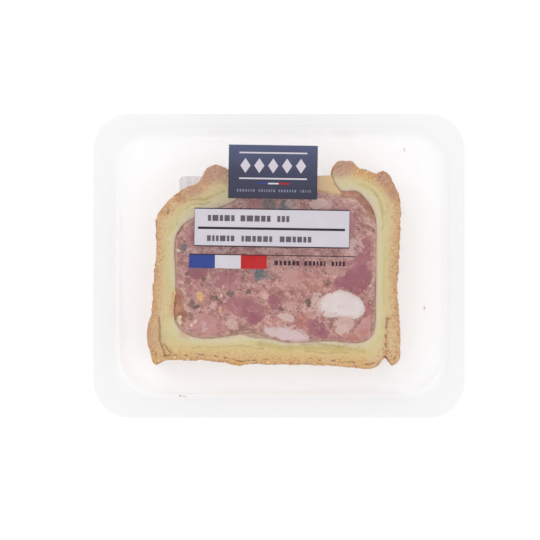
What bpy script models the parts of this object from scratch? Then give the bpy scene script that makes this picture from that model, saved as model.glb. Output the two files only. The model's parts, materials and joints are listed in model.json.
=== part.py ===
"""A slice of pate en croute, lying on its cut face in a sealed clear tray.

Run with: blender --background --python part.py
Metres, +Z up, origin under the middle of the tray, on the surface that it stands on.
The tray carries a lid film, the film carries a clear label with printed fields, and the
slice is a pastry case round a filling with jelly, ham, poultry, morels and nuts.
"""

import math

import bpy
from mathutils import Matrix, Vector, noise

MM = 0.001

# Clearance between pieces that touch
GAP = 0.3 * MM

# Tray: the flange's half size, and the well, which is cut a little off its centre
FLANGE_HALF = Vector((72.5, 59.3)) * MM
FLANGE_CORNER = 14.0 * MM
WELL_HALF = Vector((65.3, 53.4)) * MM
WELL_CENTRE = Vector((1.0, 1.2)) * MM
WELL_CORNER = 17.5 * MM
WELL_CORNER_TAPER = 0.4

# Tray: heights and widths of its section, down to a raised floor inside a foot ring
TRAY_HEIGHT = 24.0 * MM
TRAY_WALL = 0.6 * MM
LEDGE_DROP = 3.0 * MM
LEDGE_WIDTH = 1.8 * MM
WALL_DRAFT = 2.0 * MM
FLOOR_RADIUS = 4.0 * MM
FOOT_WIDTH = 3.0 * MM
FLOOR_RISE = 1.2 * MM
FLOOR_SLOPE = 1.5 * MM
CORNER_STEPS = 6
RADIUS_STEPS = 4

# Lid film and the label on it
FILM_THICKNESS = 0.4 * MM
LABEL_THICKNESS = 0.2 * MM
PRINT_THICKNESS = 0.25 * MM
LABEL_TURN = math.radians(-0.9)
LABEL_CENTRE = Vector((-3.0, 22.9)) * MM
LABEL_HALF = Vector((33.4, 25.6)) * MM
LABEL_CORNER = 2.0 * MM

# Printed fields: centre and half size, before the label is turned about its own centre
PRINT_FIELDS = {
    "name_panel": ((-2.0, 36.7), (17.3, 10.45)),
    "title_panel": ((-2.8, 14.7), (30.25, 7.3)),
    "bar_blue": ((-30.6, 1.8), (4.95, 2.5)),
    "bar_white": ((-20.4, 1.8), (4.95, 2.5)),
    "bar_red": ((-10.2, 1.8), (4.95, 2.5)),
}

# Sticker under the raised floor
BACK_LABEL_CENTRE = Vector((-1.5, 11.0)) * MM
BACK_LABEL_HALF = Vector((38.0, 24.5)) * MM
BACK_LABEL_THICKNESS = 0.25 * MM

# Slice
SLICE_THICKNESS = 18.0 * MM
SLICE_FLOOR = FLOOR_RISE + TRAY_WALL + GAP
SLICE_TOP = SLICE_FLOOR + SLICE_THICKNESS
CRUST_STEP = 2.1 * MM
CRUST_LEVELS = 5
CRAG = 0.55 * MM
CRAG_SIZE = 4.5 * MM
CRAG_SEED = Vector((3.1, 7.7, 1.9))
LIP_POINTS = 5

# Outside of the pastry in mm, from its left lip round the foot to its right lip
OUTER_EDGE = [
    (-14.0, 34.2), (-19.5, 37.3), (-24.6, 39.8), (-28.0, 38.0), (-31.1, 32.4), (-38.9, 28.8),
    (-44.7, 23.5), (-48.1, 18.5), (-47.6, 6.2), (-48.6, -8.0), (-49.5, -19.5), (-50.7, -22.0),
    (-51.2, -28.8), (-49.8, -35.0), (-48.2, -38.7), (-45.6, -37.0), (-32.8, -36.5), (-23.0, -37.4),
    (-14.9, -38.8), (0.4, -38.0), (24.2, -39.0), (35.9, -39.9), (40.6, -38.4), (44.4, -39.0),
    (47.0, -36.9), (46.5, -18.0), (45.9, -10.0), (46.9, 9.0), (47.2, 25.7), (44.7, 31.9),
    (40.9, 37.3), (38.4, 35.9), (31.6, 37.4), (27.1, 41.1), (22.7, 40.8), (20.7, 36.3), (21.7, 32.6),
]

# Inside of the pastry in mm, from its right lip back to its left lip
INNER_EDGE = [
    (21.7, 32.6), (24.3, 29.1), (30.2, 29.1), (34.9, 24.6), (37.4, 19.5), (37.8, 4.0), (37.6, -12.0),
    (36.4, -27.0), (31.6, -29.8), (19.1, -29.2), (4.3, -29.8), (-3.1, -28.4), (-9.4, -26.1),
    (-27.4, -28.1), (-35.5, -26.8), (-40.3, -22.0), (-40.2, -6.0), (-40.0, 12.0), (-36.7, 16.5),
    (-26.9, 21.3), (-18.5, 24.6), (-14.0, 28.5), (-14.0, 34.2),
]

# Cracks in the pastry in mm: their line, widest width and depth from the upper cut face
CRACKS = {
    "crack_right": (((41.2, -42.0), (41.4, -36.6), (41.3, -32.0), (42.2, -21.5)), 1.5, 14.0),
    "crack_left": (((-47.3, -19.6), (-46.6, -24.5), (-46.9, -28.0), (-43.8, -34.9)), 0.7, 7.0),
}

# Top of the jelly that fills the gap between the pastry's lips, in mm
JELLY_SURFACE = [(-13.6, 33.4), (-6.0, 33.9), (4.0, 34.4), (13.0, 34.6), (20.2, 34.9)]
JELLY_LIP_Y = 32.2 * MM

# Lumps in the filling: what they are and their outline on the upper cut face, in mm, which is
# drawn smooth. Jelly against the pastry is drawn past it, and ends at the inside of the wall.
LUMPS = {
    "ham_large": ("ham", [
        (-20.6, -12.8), (-15.0, -11.6), (-8.2, -14.2), (-4.6, -18.6), (-6.0, -21.2), (-10.4, -22.6),
        (-15.2, -20.7), (-19.8, -17.4)]),
    "ham_right": ("ham", [
        (29.5, 9.0), (35.0, 11.2), (36.3, 2.0), (35.8, -8.0), (31.2, -9.2), (24.8, -8.0),
        (25.8, -3.2), (28.8, 1.0)]),
    "ham_upper_right": ("ham", [
        (24.5, 24.0), (28.5, 21.8), (30.0, 17.0), (29.6, 12.4), (25.8, 13.6), (23.8, 18.5)]),
    "ham_upper_left": ("ham", [
        (-36.8, 13.4), (-31.0, 16.4), (-25.5, 14.6), (-24.8, 9.5), (-30.0, 7.2), (-36.2, 8.6)]),
    "ham_under_bar": ("ham", [
        (-36.0, 2.2), (-29.5, 3.2), (-25.6, 0.2), (-27.8, -4.2), (-32.6, -5.2), (-36.0, -2.0)]),
    "ham_middle_left": ("ham", [
        (-24.2, -3.0), (-19.0, -1.0), (-15.0, -4.0), (-16.6, -9.0), (-22.0, -9.8), (-26.8, -7.6)]),
    "ham_bottom_left": ("ham", [
        (-34.0, -20.2), (-27.2, -18.6), (-22.4, -21.4), (-21.8, -25.2), (-28.0, -26.9), (-34.6, -24.8)]),
    "ham_middle": ("ham", [(-4.4, -12.0), (0.2, -11.4), (2.8, -14.6), (0.2, -17.2), (-3.4, -16.4)]),
    "ham_centre_right": ("ham", [
        (1.0, -2.0), (7.2, -0.9), (11.0, -3.8), (8.6, -7.4), (2.6, -7.2), (0.0, -5.0)]),
    "ham_bottom_right": ("ham", [
        (9.8, -21.9), (15.0, -20.6), (19.0, -24.2), (17.2, -27.2), (11.8, -26.4)]),
    "ham_corner": ("ham", [(31.4, -21.6), (35.4, -19.6), (35.6, -26.2), (31.4, -28.4), (28.6, -26.0)]),
    "ham_centre": ("ham", [(-16.0, 12.2), (-8.0, 14.0), (-2.4, 10.6), (-5.2, 6.4), (-13.4, 5.8)]),
    "ham_top": ("ham", [(-14.4, 23.6), (-8.4, 26.2), (-3.2, 23.6), (-5.4, 19.4), (-12.0, 18.6)]),
    "poultry_large": ("poultry", [
        (14.4, -15.0), (18.6, -11.0), (25.4, -10.6), (31.0, -12.8), (33.4, -17.0), (30.4, -20.8),
        (24.0, -20.5), (17.0, -18.6)]),
    "poultry_bottom": ("poultry", [
        (-5.4, -23.8), (-0.2, -23.0), (5.6, -24.4), (9.6, -27.2), (4.4, -28.4), (-2.0, -27.2),
        (-6.6, -25.4)]),
    "poultry_small": ("poultry", [
        (23.4, -22.8), (27.4, -22.8), (27.0, -26.0), (24.0, -27.6), (21.4, -25.4)]),
    "poultry_pale": ("poultry", [(-1.2, -19.2), (2.6, -17.9), (6.2, -19.2), (6.0, -22.4), (0.6, -21.3)]),
    "poultry_upper": ("poultry", [
        (11.0, 24.6), (15.4, 27.0), (20.0, 25.2), (18.2, 22.6), (13.0, 21.6)]),
    "morel_middle": ("morel", [(-9.6, -0.9), (-6.2, -0.6), (-4.6, -3.6), (-7.2, -5.8), (-9.8, -4.4)]),
    "morel_upper": ("morel", [(0.4, 25.6), (5.2, 25.4), (7.8, 23.2), (3.4, 21.2), (-0.8, 22.6)]),
    "morel_left": ("morel", [(-39.0, 8.0), (-37.4, 6.9), (-37.2, 5.0), (-39.2, 4.8)]),
    "morel_low_left": ("morel", [
        (-35.2, -13.4), (-33.4, -14.8), (-31.0, -16.4), (-33.2, -17.2), (-35.8, -15.4)]),
    "morel_row": ("morel", [(-26.4, -11.2), (-24.6, -10.9), (-24.8, -12.8), (-27.0, -13.0)]),
    "morel_right": ("morel", [(10.6, -12.8), (12.8, -12.7), (12.8, -15.0), (10.4, -14.8)]),
    "nut_left": ("nut", [(-32.0, -10.4), (-29.8, -10.2), (-29.0, -13.0), (-30.6, -14.8), (-32.2, -12.8)]),
    "nut_low": ("nut", [(-23.6, -15.8), (-22.4, -15.6), (-22.0, -18.2), (-23.1, -18.7)]),
    "jelly_left": ("jelly", [
        (-42.0, -9.4), (-38.6, -9.2), (-37.0, -12.8), (-37.6, -16.0), (-35.6, -19.2), (-36.8, -22.6),
        (-39.0, -20.6), (-42.0, -21.0)]),
    "jelly_corner": ("jelly", [
        (-42.0, 18.0), (-38.4, 17.6), (-37.9, 15.2), (-39.0, 12.2), (-42.0, 11.6)]),
}
LUMP_STEP = 1.8 * MM
LUMP_LEVELS = 3
LUMP_FOOT_SCALE = 0.88

# Small lumps reach only this far down from the upper cut face
SHALLOW_DEPTH = 5.0 * MM
SHALLOW_KINDS = ("morel", "nut")

# Line that parts the jelly in the chimney from the filling, in mm
JELLY_FOOT = [
    (-20.0, 28.4), (-10.0, 28.8), (4.0, 29.4), (14.0, 29.2), (19.0, 28.2), (25.0, 26.7), (29.6, 26.2),
    (33.0, 22.8), (35.6, 18.8), (40.0, 16.0),
]
SKY_Y = 60.0 * MM

# Colours: base colour, roughness
FINISHES = {
    "clear_plastic": ((0.93, 0.94, 0.95), 0.15),
    "film": ((0.95, 0.95, 0.97), 0.1),
    "navy_print": ((0.055, 0.065, 0.15), 0.4),
    "white_print": ((0.68, 0.66, 0.72), 0.4),
    "blue_print": ((0.045, 0.075, 0.29), 0.4),
    "red_print": ((0.53, 0.025, 0.03), 0.4),
    "paper": ((0.8, 0.8, 0.8), 0.7),
    "crust": ((0.62, 0.44, 0.22), 0.85),
    "forcemeat": ((0.46, 0.24, 0.22), 0.5),
    "jelly": ((0.5, 0.28, 0.12), 0.15),
    "ham": ((0.37, 0.14, 0.16), 0.45),
    "poultry": ((0.7, 0.61, 0.6), 0.5),
    "morel": ((0.1, 0.085, 0.08), 0.6),
    "nut": ((0.65, 0.38, 0.17), 0.5),
}


def clear_scene():
    """Removes every object that the file opens with."""
    for old in list(bpy.data.objects):
        bpy.data.objects.remove(old)


def finish(name):
    """The material of one finish, made when it is first asked for."""
    made = bpy.data.materials.get(name)
    if made is None:
        colour, roughness = FINISHES[name]
        made = bpy.data.materials.new(name)
        made.use_nodes = True
        shader = made.node_tree.nodes["Principled BSDF"]
        shader.inputs["Base Color"].default_value = (*colour, 1.0)
        shader.inputs["Roughness"].default_value = roughness
        shader.inputs["Metallic"].default_value = 0.0
    return made


def loft(name, rings, finish_name):
    """A closed solid through rings of points, lowest first and each running anticlockwise."""
    count = len(rings[0])
    points = [point for ring in rings for point in ring]
    faces = [tuple(reversed(range(count)))]
    for level in range(len(rings) - 1):
        low, high = level * count, (level + 1) * count
        for i in range(count):
            j = (i + 1) % count
            faces.append((low + i, low + j, high + j, high + i))
    top = (len(rings) - 1) * count
    faces.append(tuple(range(top, top + count)))
    mesh = bpy.data.meshes.new(name)
    mesh.from_pydata([tuple(point) for point in points], [], faces)
    mesh.materials.append(finish(finish_name))
    made = bpy.data.objects.new(name, mesh)
    bpy.context.scene.collection.objects.link(made)
    return made


def smooth_faces(piece, angle):
    """Shades a piece smooth, with its edges over the angle kept sharp."""
    piece.data.shade_smooth()
    piece.data.set_sharp_from_angle(angle=angle)


def mark_as_cutter(piece):
    """Keeps a cutting shape out of the finished object."""
    piece.hide_render = True
    piece.display_type = "WIRE"


def cut(piece, cutter, operation="DIFFERENCE"):
    """Cuts a piece by another, or keeps what both hold."""
    mark_as_cutter(cutter)
    modifier = piece.modifiers.new(cutter.name, "BOOLEAN")
    modifier.operation = operation
    modifier.solver = "EXACT"
    modifier.object = cutter


def in_metres(points):
    """Points given in millimetres, as vectors in metres."""
    return [Vector((x, y)) * MM for x, y in points]


def curve_through(points, step, closed):
    """Evenly placed points on a centripetal Catmull-Rom curve through the given ones."""
    count = len(points)
    spans = count if closed else count - 1
    made = []
    for i in range(spans):
        if closed:
            a, b, c, d = (points[(i + k) % count] for k in (-1, 0, 1, 2))
        else:
            b, c = points[i], points[i + 1]
            a = points[i - 1] if i else b * 2 - c
            d = points[i + 2] if i + 2 < count else c * 2 - b
        knots = [0.0]
        for p, q in ((a, b), (b, c), (c, d)):
            knots.append(knots[-1] + math.sqrt(max((q - p).length, 1e-9)))
        parts = max(1, round((c - b).length / step))
        for k in range(parts):
            t = knots[1] + (knots[2] - knots[1]) * k / parts
            made.append(catmull_rom(a, b, c, d, knots, t))
    if not closed:
        made.append(points[-1].copy())
    return made


def catmull_rom(a, b, c, d, knots, t):
    """The point at t on the span from b to c."""

    def between(p, q, start, end):
        return p.lerp(q, (t - start) / (end - start))

    k0, k1, k2, k3 = knots
    ab, bc, cd = between(a, b, k0, k1), between(b, c, k1, k2), between(c, d, k2, k3)
    return between(between(ab, bc, k0, k2), between(bc, cd, k1, k3), k1, k2)


def outward_normals(loop):
    """The outward unit normal at each point of an anticlockwise loop."""
    count = len(loop)
    normals = []
    for i in range(count):
        along = loop[(i + 1) % count] - loop[i - 1]
        normals.append(Vector((along.y, -along.x)).normalized())
    return normals


def grown(loop, amount):
    """An anticlockwise loop moved outwards by an amount."""
    return [point + normal * amount for point, normal in zip(loop, outward_normals(loop))]


def area_of(loop):
    """Signed area of a loop, positive when it runs anticlockwise."""
    return sum(loop[i - 1].cross(loop[i]) for i in range(len(loop))) / 2


def anticlockwise(loop):
    """The loop in anticlockwise order."""
    return loop if area_of(loop) > 0 else loop[::-1]


def at_height(loop, z):
    """A flat loop raised to a height."""
    return [Vector((point.x, point.y, z)) for point in loop]


def rounded_rectangle(half, radius):
    """An anticlockwise rectangle with round corners, about its own centre."""
    loop = []
    for corner, (sign_x, sign_y) in enumerate(((1, 1), (-1, 1), (-1, -1), (1, -1))):
        centre = Vector((sign_x * (half.x - radius), sign_y * (half.y - radius)))
        for step in range(CORNER_STEPS + 1):
            angle = (corner + step / CORNER_STEPS) * math.pi / 2
            loop.append(centre + radius * Vector((math.cos(angle), math.sin(angle))))
    return loop


def flange_ring(z):
    """The flange's outline at a height."""
    return at_height(rounded_rectangle(FLANGE_HALF, FLANGE_CORNER), z)


def well_ring(inset, z):
    """The well's outline moved inwards and set at a height."""
    half = WELL_HALF - Vector((inset, inset))
    loop = rounded_rectangle(half, WELL_CORNER - inset * WELL_CORNER_TAPER)
    return at_height([point + WELL_CENTRE for point in loop], z)


def make_tray():
    """The formed tray: one wall that runs from the floor up to the flange and back inside."""
    wall_foot = LEDGE_WIDTH + WALL_DRAFT
    foot_outer = wall_foot + FLOOR_RADIUS
    foot_inner = foot_outer + FOOT_WIDTH
    floor_edge = foot_inner + FLOOR_SLOPE
    ledge_z = TRAY_HEIGHT - LEDGE_DROP

    def arc(centre_z, radius):
        """Insets and heights round the corner between floor and wall, from the floor up."""
        for step in range(RADIUS_STEPS + 1):
            angle = math.pi / 2 * step / RADIUS_STEPS
            yield foot_outer - radius * math.sin(angle), centre_z - radius * math.cos(angle)

    outside = [(floor_edge, FLOOR_RISE), (foot_inner, 0.0)]
    outside += list(arc(FLOOR_RADIUS, FLOOR_RADIUS))
    outside += [
        (LEDGE_WIDTH, ledge_z - TRAY_WALL),
        (0.0, ledge_z - TRAY_WALL),
        (0.0, TRAY_HEIGHT - TRAY_WALL),
    ]
    inside = [(floor_edge, FLOOR_RISE + TRAY_WALL), (foot_inner, TRAY_WALL)]
    inside += list(arc(FLOOR_RADIUS, FLOOR_RADIUS - TRAY_WALL))
    inside += [
        (LEDGE_WIDTH + TRAY_WALL, ledge_z),
        (TRAY_WALL, ledge_z),
        (TRAY_WALL, TRAY_HEIGHT),
    ]
    rings = [well_ring(inset, z) for inset, z in outside]
    rings += [flange_ring(TRAY_HEIGHT - TRAY_WALL), flange_ring(TRAY_HEIGHT)]
    rings += [well_ring(inset, z) for inset, z in inside[::-1]]
    smooth_faces(loft("tray", rings, "clear_plastic"), math.radians(40))


def plate(name, loop, bottom, thickness, finish_name):
    """A flat piece of one thickness."""
    return loft(name, [at_height(loop, bottom), at_height(loop, bottom + thickness)], finish_name)


def make_lid_and_label():
    """The film sealed to the flange, the clear label on it and the label's printed fields."""
    film_floor = TRAY_HEIGHT + GAP
    film_loop = rounded_rectangle(FLANGE_HALF - Vector((GAP, GAP)), FLANGE_CORNER)
    plate("lid_film", film_loop, film_floor, FILM_THICKNESS, "film")

    turn = Matrix.Rotation(LABEL_TURN, 2)
    label_floor = film_floor + FILM_THICKNESS + GAP
    label_loop = rounded_rectangle(LABEL_HALF, LABEL_CORNER)
    label_loop = [turn @ point + LABEL_CENTRE for point in label_loop]
    plate("clear_label", label_loop, label_floor, LABEL_THICKNESS, "film")

    print_floor = label_floor + LABEL_THICKNESS + GAP
    inks = dict(zip(PRINT_FIELDS, ("navy_print", "white_print", "blue_print", "white_print", "red_print")))
    for name, (centre, half) in PRINT_FIELDS.items():
        corners = [(-1, -1), (1, -1), (1, 1), (-1, 1)]
        loop = [(Vector(centre) + Vector((x * half[0], y * half[1]))) * MM for x, y in corners]
        loop = [turn @ (point - LABEL_CENTRE) + LABEL_CENTRE for point in loop]
        plate(name, loop, print_floor, PRINT_THICKNESS, inks[name])


def make_back_label():
    """The sticker under the tray's raised floor, clear of the surface that the tray stands on."""
    loop = rounded_rectangle(BACK_LABEL_HALF, LABEL_CORNER)
    loop = [point + BACK_LABEL_CENTRE for point in loop]
    floor = FLOOR_RISE - GAP - BACK_LABEL_THICKNESS
    plate("back_label", loop, floor, BACK_LABEL_THICKNESS, "paper")


def crag_at(point, z):
    """How far the baked surface stands out at a point of the pastry's outside."""
    place = Vector((point.x, point.y, z))
    coarse = noise.noise(place / CRAG_SIZE + CRAG_SEED)
    fine = noise.noise(place / CRAG_SIZE * 2.7 - CRAG_SEED)
    return CRAG * (coarse + 0.5 * fine)


def crag_share(i, count):
    """1 along the pastry's outside, falling to 0 at its lips and on its inside."""
    from_lip = min(i, count - 1 - i)
    return min(max(from_lip / LIP_POINTS, 0.0), 1.0)


def make_crust():
    """The pastry case: one wall open at the top, with crags outside and two cracks."""
    outer = curve_through(in_metres(OUTER_EDGE), CRUST_STEP, closed=False)
    inner = curve_through(in_metres(INNER_EDGE), CRUST_STEP, closed=False)
    loop = outer[:-1] + inner[:-1]
    normals = outward_normals(loop)
    rings = []
    for level in range(CRUST_LEVELS):
        share = level / (CRUST_LEVELS - 1)
        z = SLICE_FLOOR + SLICE_THICKNESS * share
        ring = []
        for i, (point, normal) in enumerate(zip(loop, normals)):
            share_here = crag_share(i, len(outer))
            ring.append(point + normal * crag_at(point, z) * share_here)
        rings.append(at_height(ring, z))
    crust = loft("crust", rings, "crust")
    smooth_faces(crust, math.radians(35))
    for name, (line, width, depth) in CRACKS.items():
        cut(crust, make_crack(name, in_metres(line), width * MM, depth * MM))


def make_crack(name, line, width, depth):
    """A tapering slit along a line, cut down from the upper cut face."""
    path = curve_through(line, CRUST_STEP, closed=False)
    left, right = [], []
    for i, point in enumerate(path):
        along = path[min(i + 1, len(path) - 1)] - path[max(i - 1, 0)]
        side = Vector((-along.y, along.x)).normalized()
        half = width / 2 * (1.0 - 0.8 * i / (len(path) - 1))
        left.append(point + side * half)
        right.append(point - side * half)
    loop = anticlockwise(left + right[::-1])
    rings = [at_height(loop, SLICE_TOP - depth), at_height(loop, SLICE_TOP + MM)]
    return loft(name, rings, "crust")


def filling_loop():
    """Everything inside the pastry, up to the top of the jelly between its lips."""
    wall = curve_through(in_metres(INNER_EDGE[::-1]), CRUST_STEP, closed=False)
    surface = curve_through(in_metres(JELLY_SURFACE[::-1]), CRUST_STEP, closed=False)
    wall = [point for point in wall if point.y < JELLY_LIP_Y]
    loop = wall + surface
    return grown(loop, -GAP)[: len(wall)] + surface


def lump_rings(outline, grow, bottom, top):
    """Rings of a lump that narrows slightly towards the lower cut face."""
    loop = anticlockwise(curve_through(in_metres(outline), LUMP_STEP, closed=True))
    centre = sum(loop, Vector((0.0, 0.0))) / len(loop)
    rings = []
    for level in range(LUMP_LEVELS):
        share = level / (LUMP_LEVELS - 1)
        scale = LUMP_FOOT_SCALE + (1.0 - LUMP_FOOT_SCALE) * share
        ring = [centre + (point - centre) * scale for point in loop]
        rings.append(at_height(grown(ring, grow), bottom + (top - bottom) * share))
    return rings


def make_filling():
    """The forcemeat with a pocket for each lump, the lumps, and the jelly in the chimney."""
    loop = filling_loop()
    whole = [at_height(loop, SLICE_FLOOR), at_height(loop, SLICE_TOP)]
    forcemeat = loft("forcemeat", whole, "forcemeat")
    jelly_top = loft("jelly_top", whole, "jelly")

    foot = curve_through(in_metres(JELLY_FOOT), CRUST_STEP, closed=False)
    above = [Vector((foot[-1].x, SKY_Y)), Vector((foot[0].x, SKY_Y))]
    for piece, shift, operation in ((jelly_top, 0.0, "INTERSECT"), (forcemeat, -GAP, "DIFFERENCE")):
        line = [point + Vector((0.0, shift)) for point in foot] + above
        rings = [at_height(line, SLICE_FLOOR - MM), at_height(line, SLICE_TOP + MM)]
        cut(piece, loft("chimney_for_" + piece.name, rings, "jelly"), operation)

    for name, (kind, outline) in LUMPS.items():
        shallow = kind in SHALLOW_KINDS
        bottom = SLICE_TOP - SHALLOW_DEPTH if shallow else SLICE_FLOOR
        lump = loft(name, lump_rings(outline, 0.0, bottom, SLICE_TOP), kind)
        smooth_faces(lump, math.radians(50))
        if kind == "jelly":
            inside = [at_height(loop, SLICE_FLOOR - MM), at_height(loop, SLICE_TOP + MM)]
            cut(lump, loft("inside_for_" + name, inside, kind), "INTERSECT")
        pocket_floor = bottom - GAP if shallow else SLICE_FLOOR - MM
        pocket = lump_rings(outline, GAP, pocket_floor, SLICE_TOP + MM)
        cut(forcemeat, loft("pocket_for_" + name, pocket, kind))


def main():
    clear_scene()
    make_tray()
    make_lid_and_label()
    make_back_label()
    make_crust()
    make_filling()


main()
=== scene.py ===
# %% [markdown]
# # A slice of pate en croute in its clear tray
# The photograph looks straight down on a sealed pack. A slice lies on its cut face in a formed
# clear tray, a film is sealed over it, and a clear label with printed fields sits on the film.
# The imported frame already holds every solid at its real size. This script gives each of them
# the surface of the real thing: baked pastry, moist filling, jelly, clear plastic and print.

# %% Load the frame
import json
import math

import bmesh
import bpy
import numpy as np
from mathutils import Matrix, Vector, kdtree, noise


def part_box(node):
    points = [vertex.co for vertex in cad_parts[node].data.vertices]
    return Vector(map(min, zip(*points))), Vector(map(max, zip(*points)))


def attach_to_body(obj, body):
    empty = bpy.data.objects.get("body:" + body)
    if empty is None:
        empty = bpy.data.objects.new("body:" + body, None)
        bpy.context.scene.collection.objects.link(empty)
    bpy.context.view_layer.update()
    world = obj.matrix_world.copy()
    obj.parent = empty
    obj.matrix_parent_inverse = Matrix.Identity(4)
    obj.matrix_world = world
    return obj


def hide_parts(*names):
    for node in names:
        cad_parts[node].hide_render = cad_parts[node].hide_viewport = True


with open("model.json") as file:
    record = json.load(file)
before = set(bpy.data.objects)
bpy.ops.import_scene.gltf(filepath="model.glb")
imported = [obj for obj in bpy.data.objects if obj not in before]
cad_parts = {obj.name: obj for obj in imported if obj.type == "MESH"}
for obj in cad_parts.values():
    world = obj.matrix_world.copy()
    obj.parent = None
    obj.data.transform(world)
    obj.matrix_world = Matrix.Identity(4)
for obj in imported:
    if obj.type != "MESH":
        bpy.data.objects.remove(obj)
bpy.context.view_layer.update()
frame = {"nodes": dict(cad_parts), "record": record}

MM = 0.001

# %% [markdown]
# ## Camera and light
# The pack is seen from above with a long lens, so the flange and the slice under it keep
# almost the same scale. The floor and the surroundings are white and the lights are large
# and soft, because hard light on film would hide the food behind glare.

# %% Camera above the cut face
SLICE_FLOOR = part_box("crust")[0].z
SLICE_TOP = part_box("crust")[1].z
VIEW_WIDTH = 210.6 * MM
VIEW_CENTRE = Vector((-3.5, -1.6)) * MM
CAMERA_RISE = 1.5
SENSOR_WIDTH = 36.0

camera_data = bpy.data.cameras.new("camera")
camera_data.sensor_width = SENSOR_WIDTH
camera_data.lens = SENSOR_WIDTH * CAMERA_RISE / VIEW_WIDTH
camera = bpy.data.objects.new("camera", camera_data)
camera.location = (VIEW_CENTRE.x, VIEW_CENTRE.y, SLICE_TOP + CAMERA_RISE)
bpy.context.scene.collection.objects.link(camera)
bpy.context.scene.camera = camera
print("lens, mm:", round(camera_data.lens, 1))

# %% Soft lights, white surroundings and the floor
WORLD_STRENGTH = 0.87
# How many clear surfaces a ray may cross
CLEAR_CROSSINGS = 24
# Each light's place and size in metres, and its power in watts
LIGHTS = {
    "window": ((-0.45, 0.5, 1.0), 0.8, 2.5),
    "fill": ((0.6, -0.25, 0.9), 0.7, 1.2),
}


def add_light(name, place, size, power):
    """A square soft light that faces the slice."""
    data = bpy.data.lights.new(name, "AREA")
    data.size = size
    data.energy = power
    light = bpy.data.objects.new(name, data)
    light.location = place
    light.rotation_euler = (-Vector(place)).to_track_quat("-Z", "Y").to_euler()
    bpy.context.scene.collection.objects.link(light)


for name, (place, size, power) in LIGHTS.items():
    add_light(name, place, size, power)

world = bpy.data.worlds.new("studio")
world.use_nodes = True
world.node_tree.nodes["Background"].inputs["Color"].default_value = (1.0, 1.0, 1.0, 1.0)
world.node_tree.nodes["Background"].inputs["Strength"].default_value = WORLD_STRENGTH
bpy.context.scene.world = world
bpy.context.scene.view_settings.view_transform = "Standard"
bpy.context.scene.cycles.transparent_max_bounces = CLEAR_CROSSINGS
print("lights:", ", ".join(LIGHTS))

# %% [markdown]
# ## Shader maths as Python
# A material here is a small program. `Wire` wraps one output of a node, so that `mask * 0.5`
# adds a Math node. `Graph` makes nodes in any tree, and `Paint` is the graph of one material,
# with the Principled shader that it feeds.
# Places are read in millimetres from Object coordinates, because every piece's object sits at
# the origin, so a pattern runs on from one piece to the next.

# %% The Wire, Graph and Paint classes


def tone(red, green, blue):
    """A colour as it is read off a picture, from 0 to 255, as linear light."""
    channels = [value / 255 for value in (red, green, blue)]
    linear = [c / 12.92 if c <= 0.04045 else ((c + 0.055) / 1.055) ** 2.4 for c in channels]
    return (*linear, 1.0)


class Wire:
    """An output of a node, on which Python's operators add Math nodes."""

    def __init__(self, graph, socket):
        self.graph = graph
        self.socket = socket

    def maths(self, operation, *values):
        return self.graph.add("ShaderNodeMath", {"operation": operation}, *values)

    def __add__(self, other):
        return self.maths("ADD", self, other)

    def __sub__(self, other):
        return self.maths("SUBTRACT", self, other)

    def __rsub__(self, other):
        return self.maths("SUBTRACT", other, self)

    def __mul__(self, other):
        return self.maths("MULTIPLY", self, other)

    def __truediv__(self, other):
        return self.maths("DIVIDE", self, other)

    def __mod__(self, other):
        return self.maths("MODULO", self, other)

    def __gt__(self, other):
        return self.maths("GREATER_THAN", self, other)

    def power(self, exponent):
        return self.maths("POWER", self, exponent)

    def distance(self):
        return self.maths("ABSOLUTE", self)

    def between(self, low, high):
        """0 below low and 1 above high, with a soft step where high is over low, or the reverse."""
        settings = {"interpolation_type": "SMOOTHSTEP"}
        return self.graph.add("ShaderNodeMapRange", settings, self, low, high, 0.0, 1.0)

    def output(self, name):
        """Another output of the same node."""
        return Wire(self.graph, self.socket.node.outputs[name])


class Graph:
    """A node tree under construction."""

    def __init__(self, tree):
        self.tree = tree

    def join(self, value, socket):
        """Leads a wire to a socket, or sets a plain value on it."""
        if isinstance(value, Wire):
            self.tree.links.new(value.socket, socket)
        elif value is not None:
            socket.default_value = value

    def add(self, kind, settings, *values, out=0, **named):
        """Any node: its type, its settings, then what its sockets get in order or by name."""
        node = self.tree.nodes.new(kind)
        for setting, value in settings.items():
            setattr(node, setting, value)
        for index, value in enumerate(values):
            self.join(value, node.inputs[index])
        for name, value in named.items():
            self.join(value, node.inputs[name.replace("_", " ")])
        return Wire(self, node.outputs[out])


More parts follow.
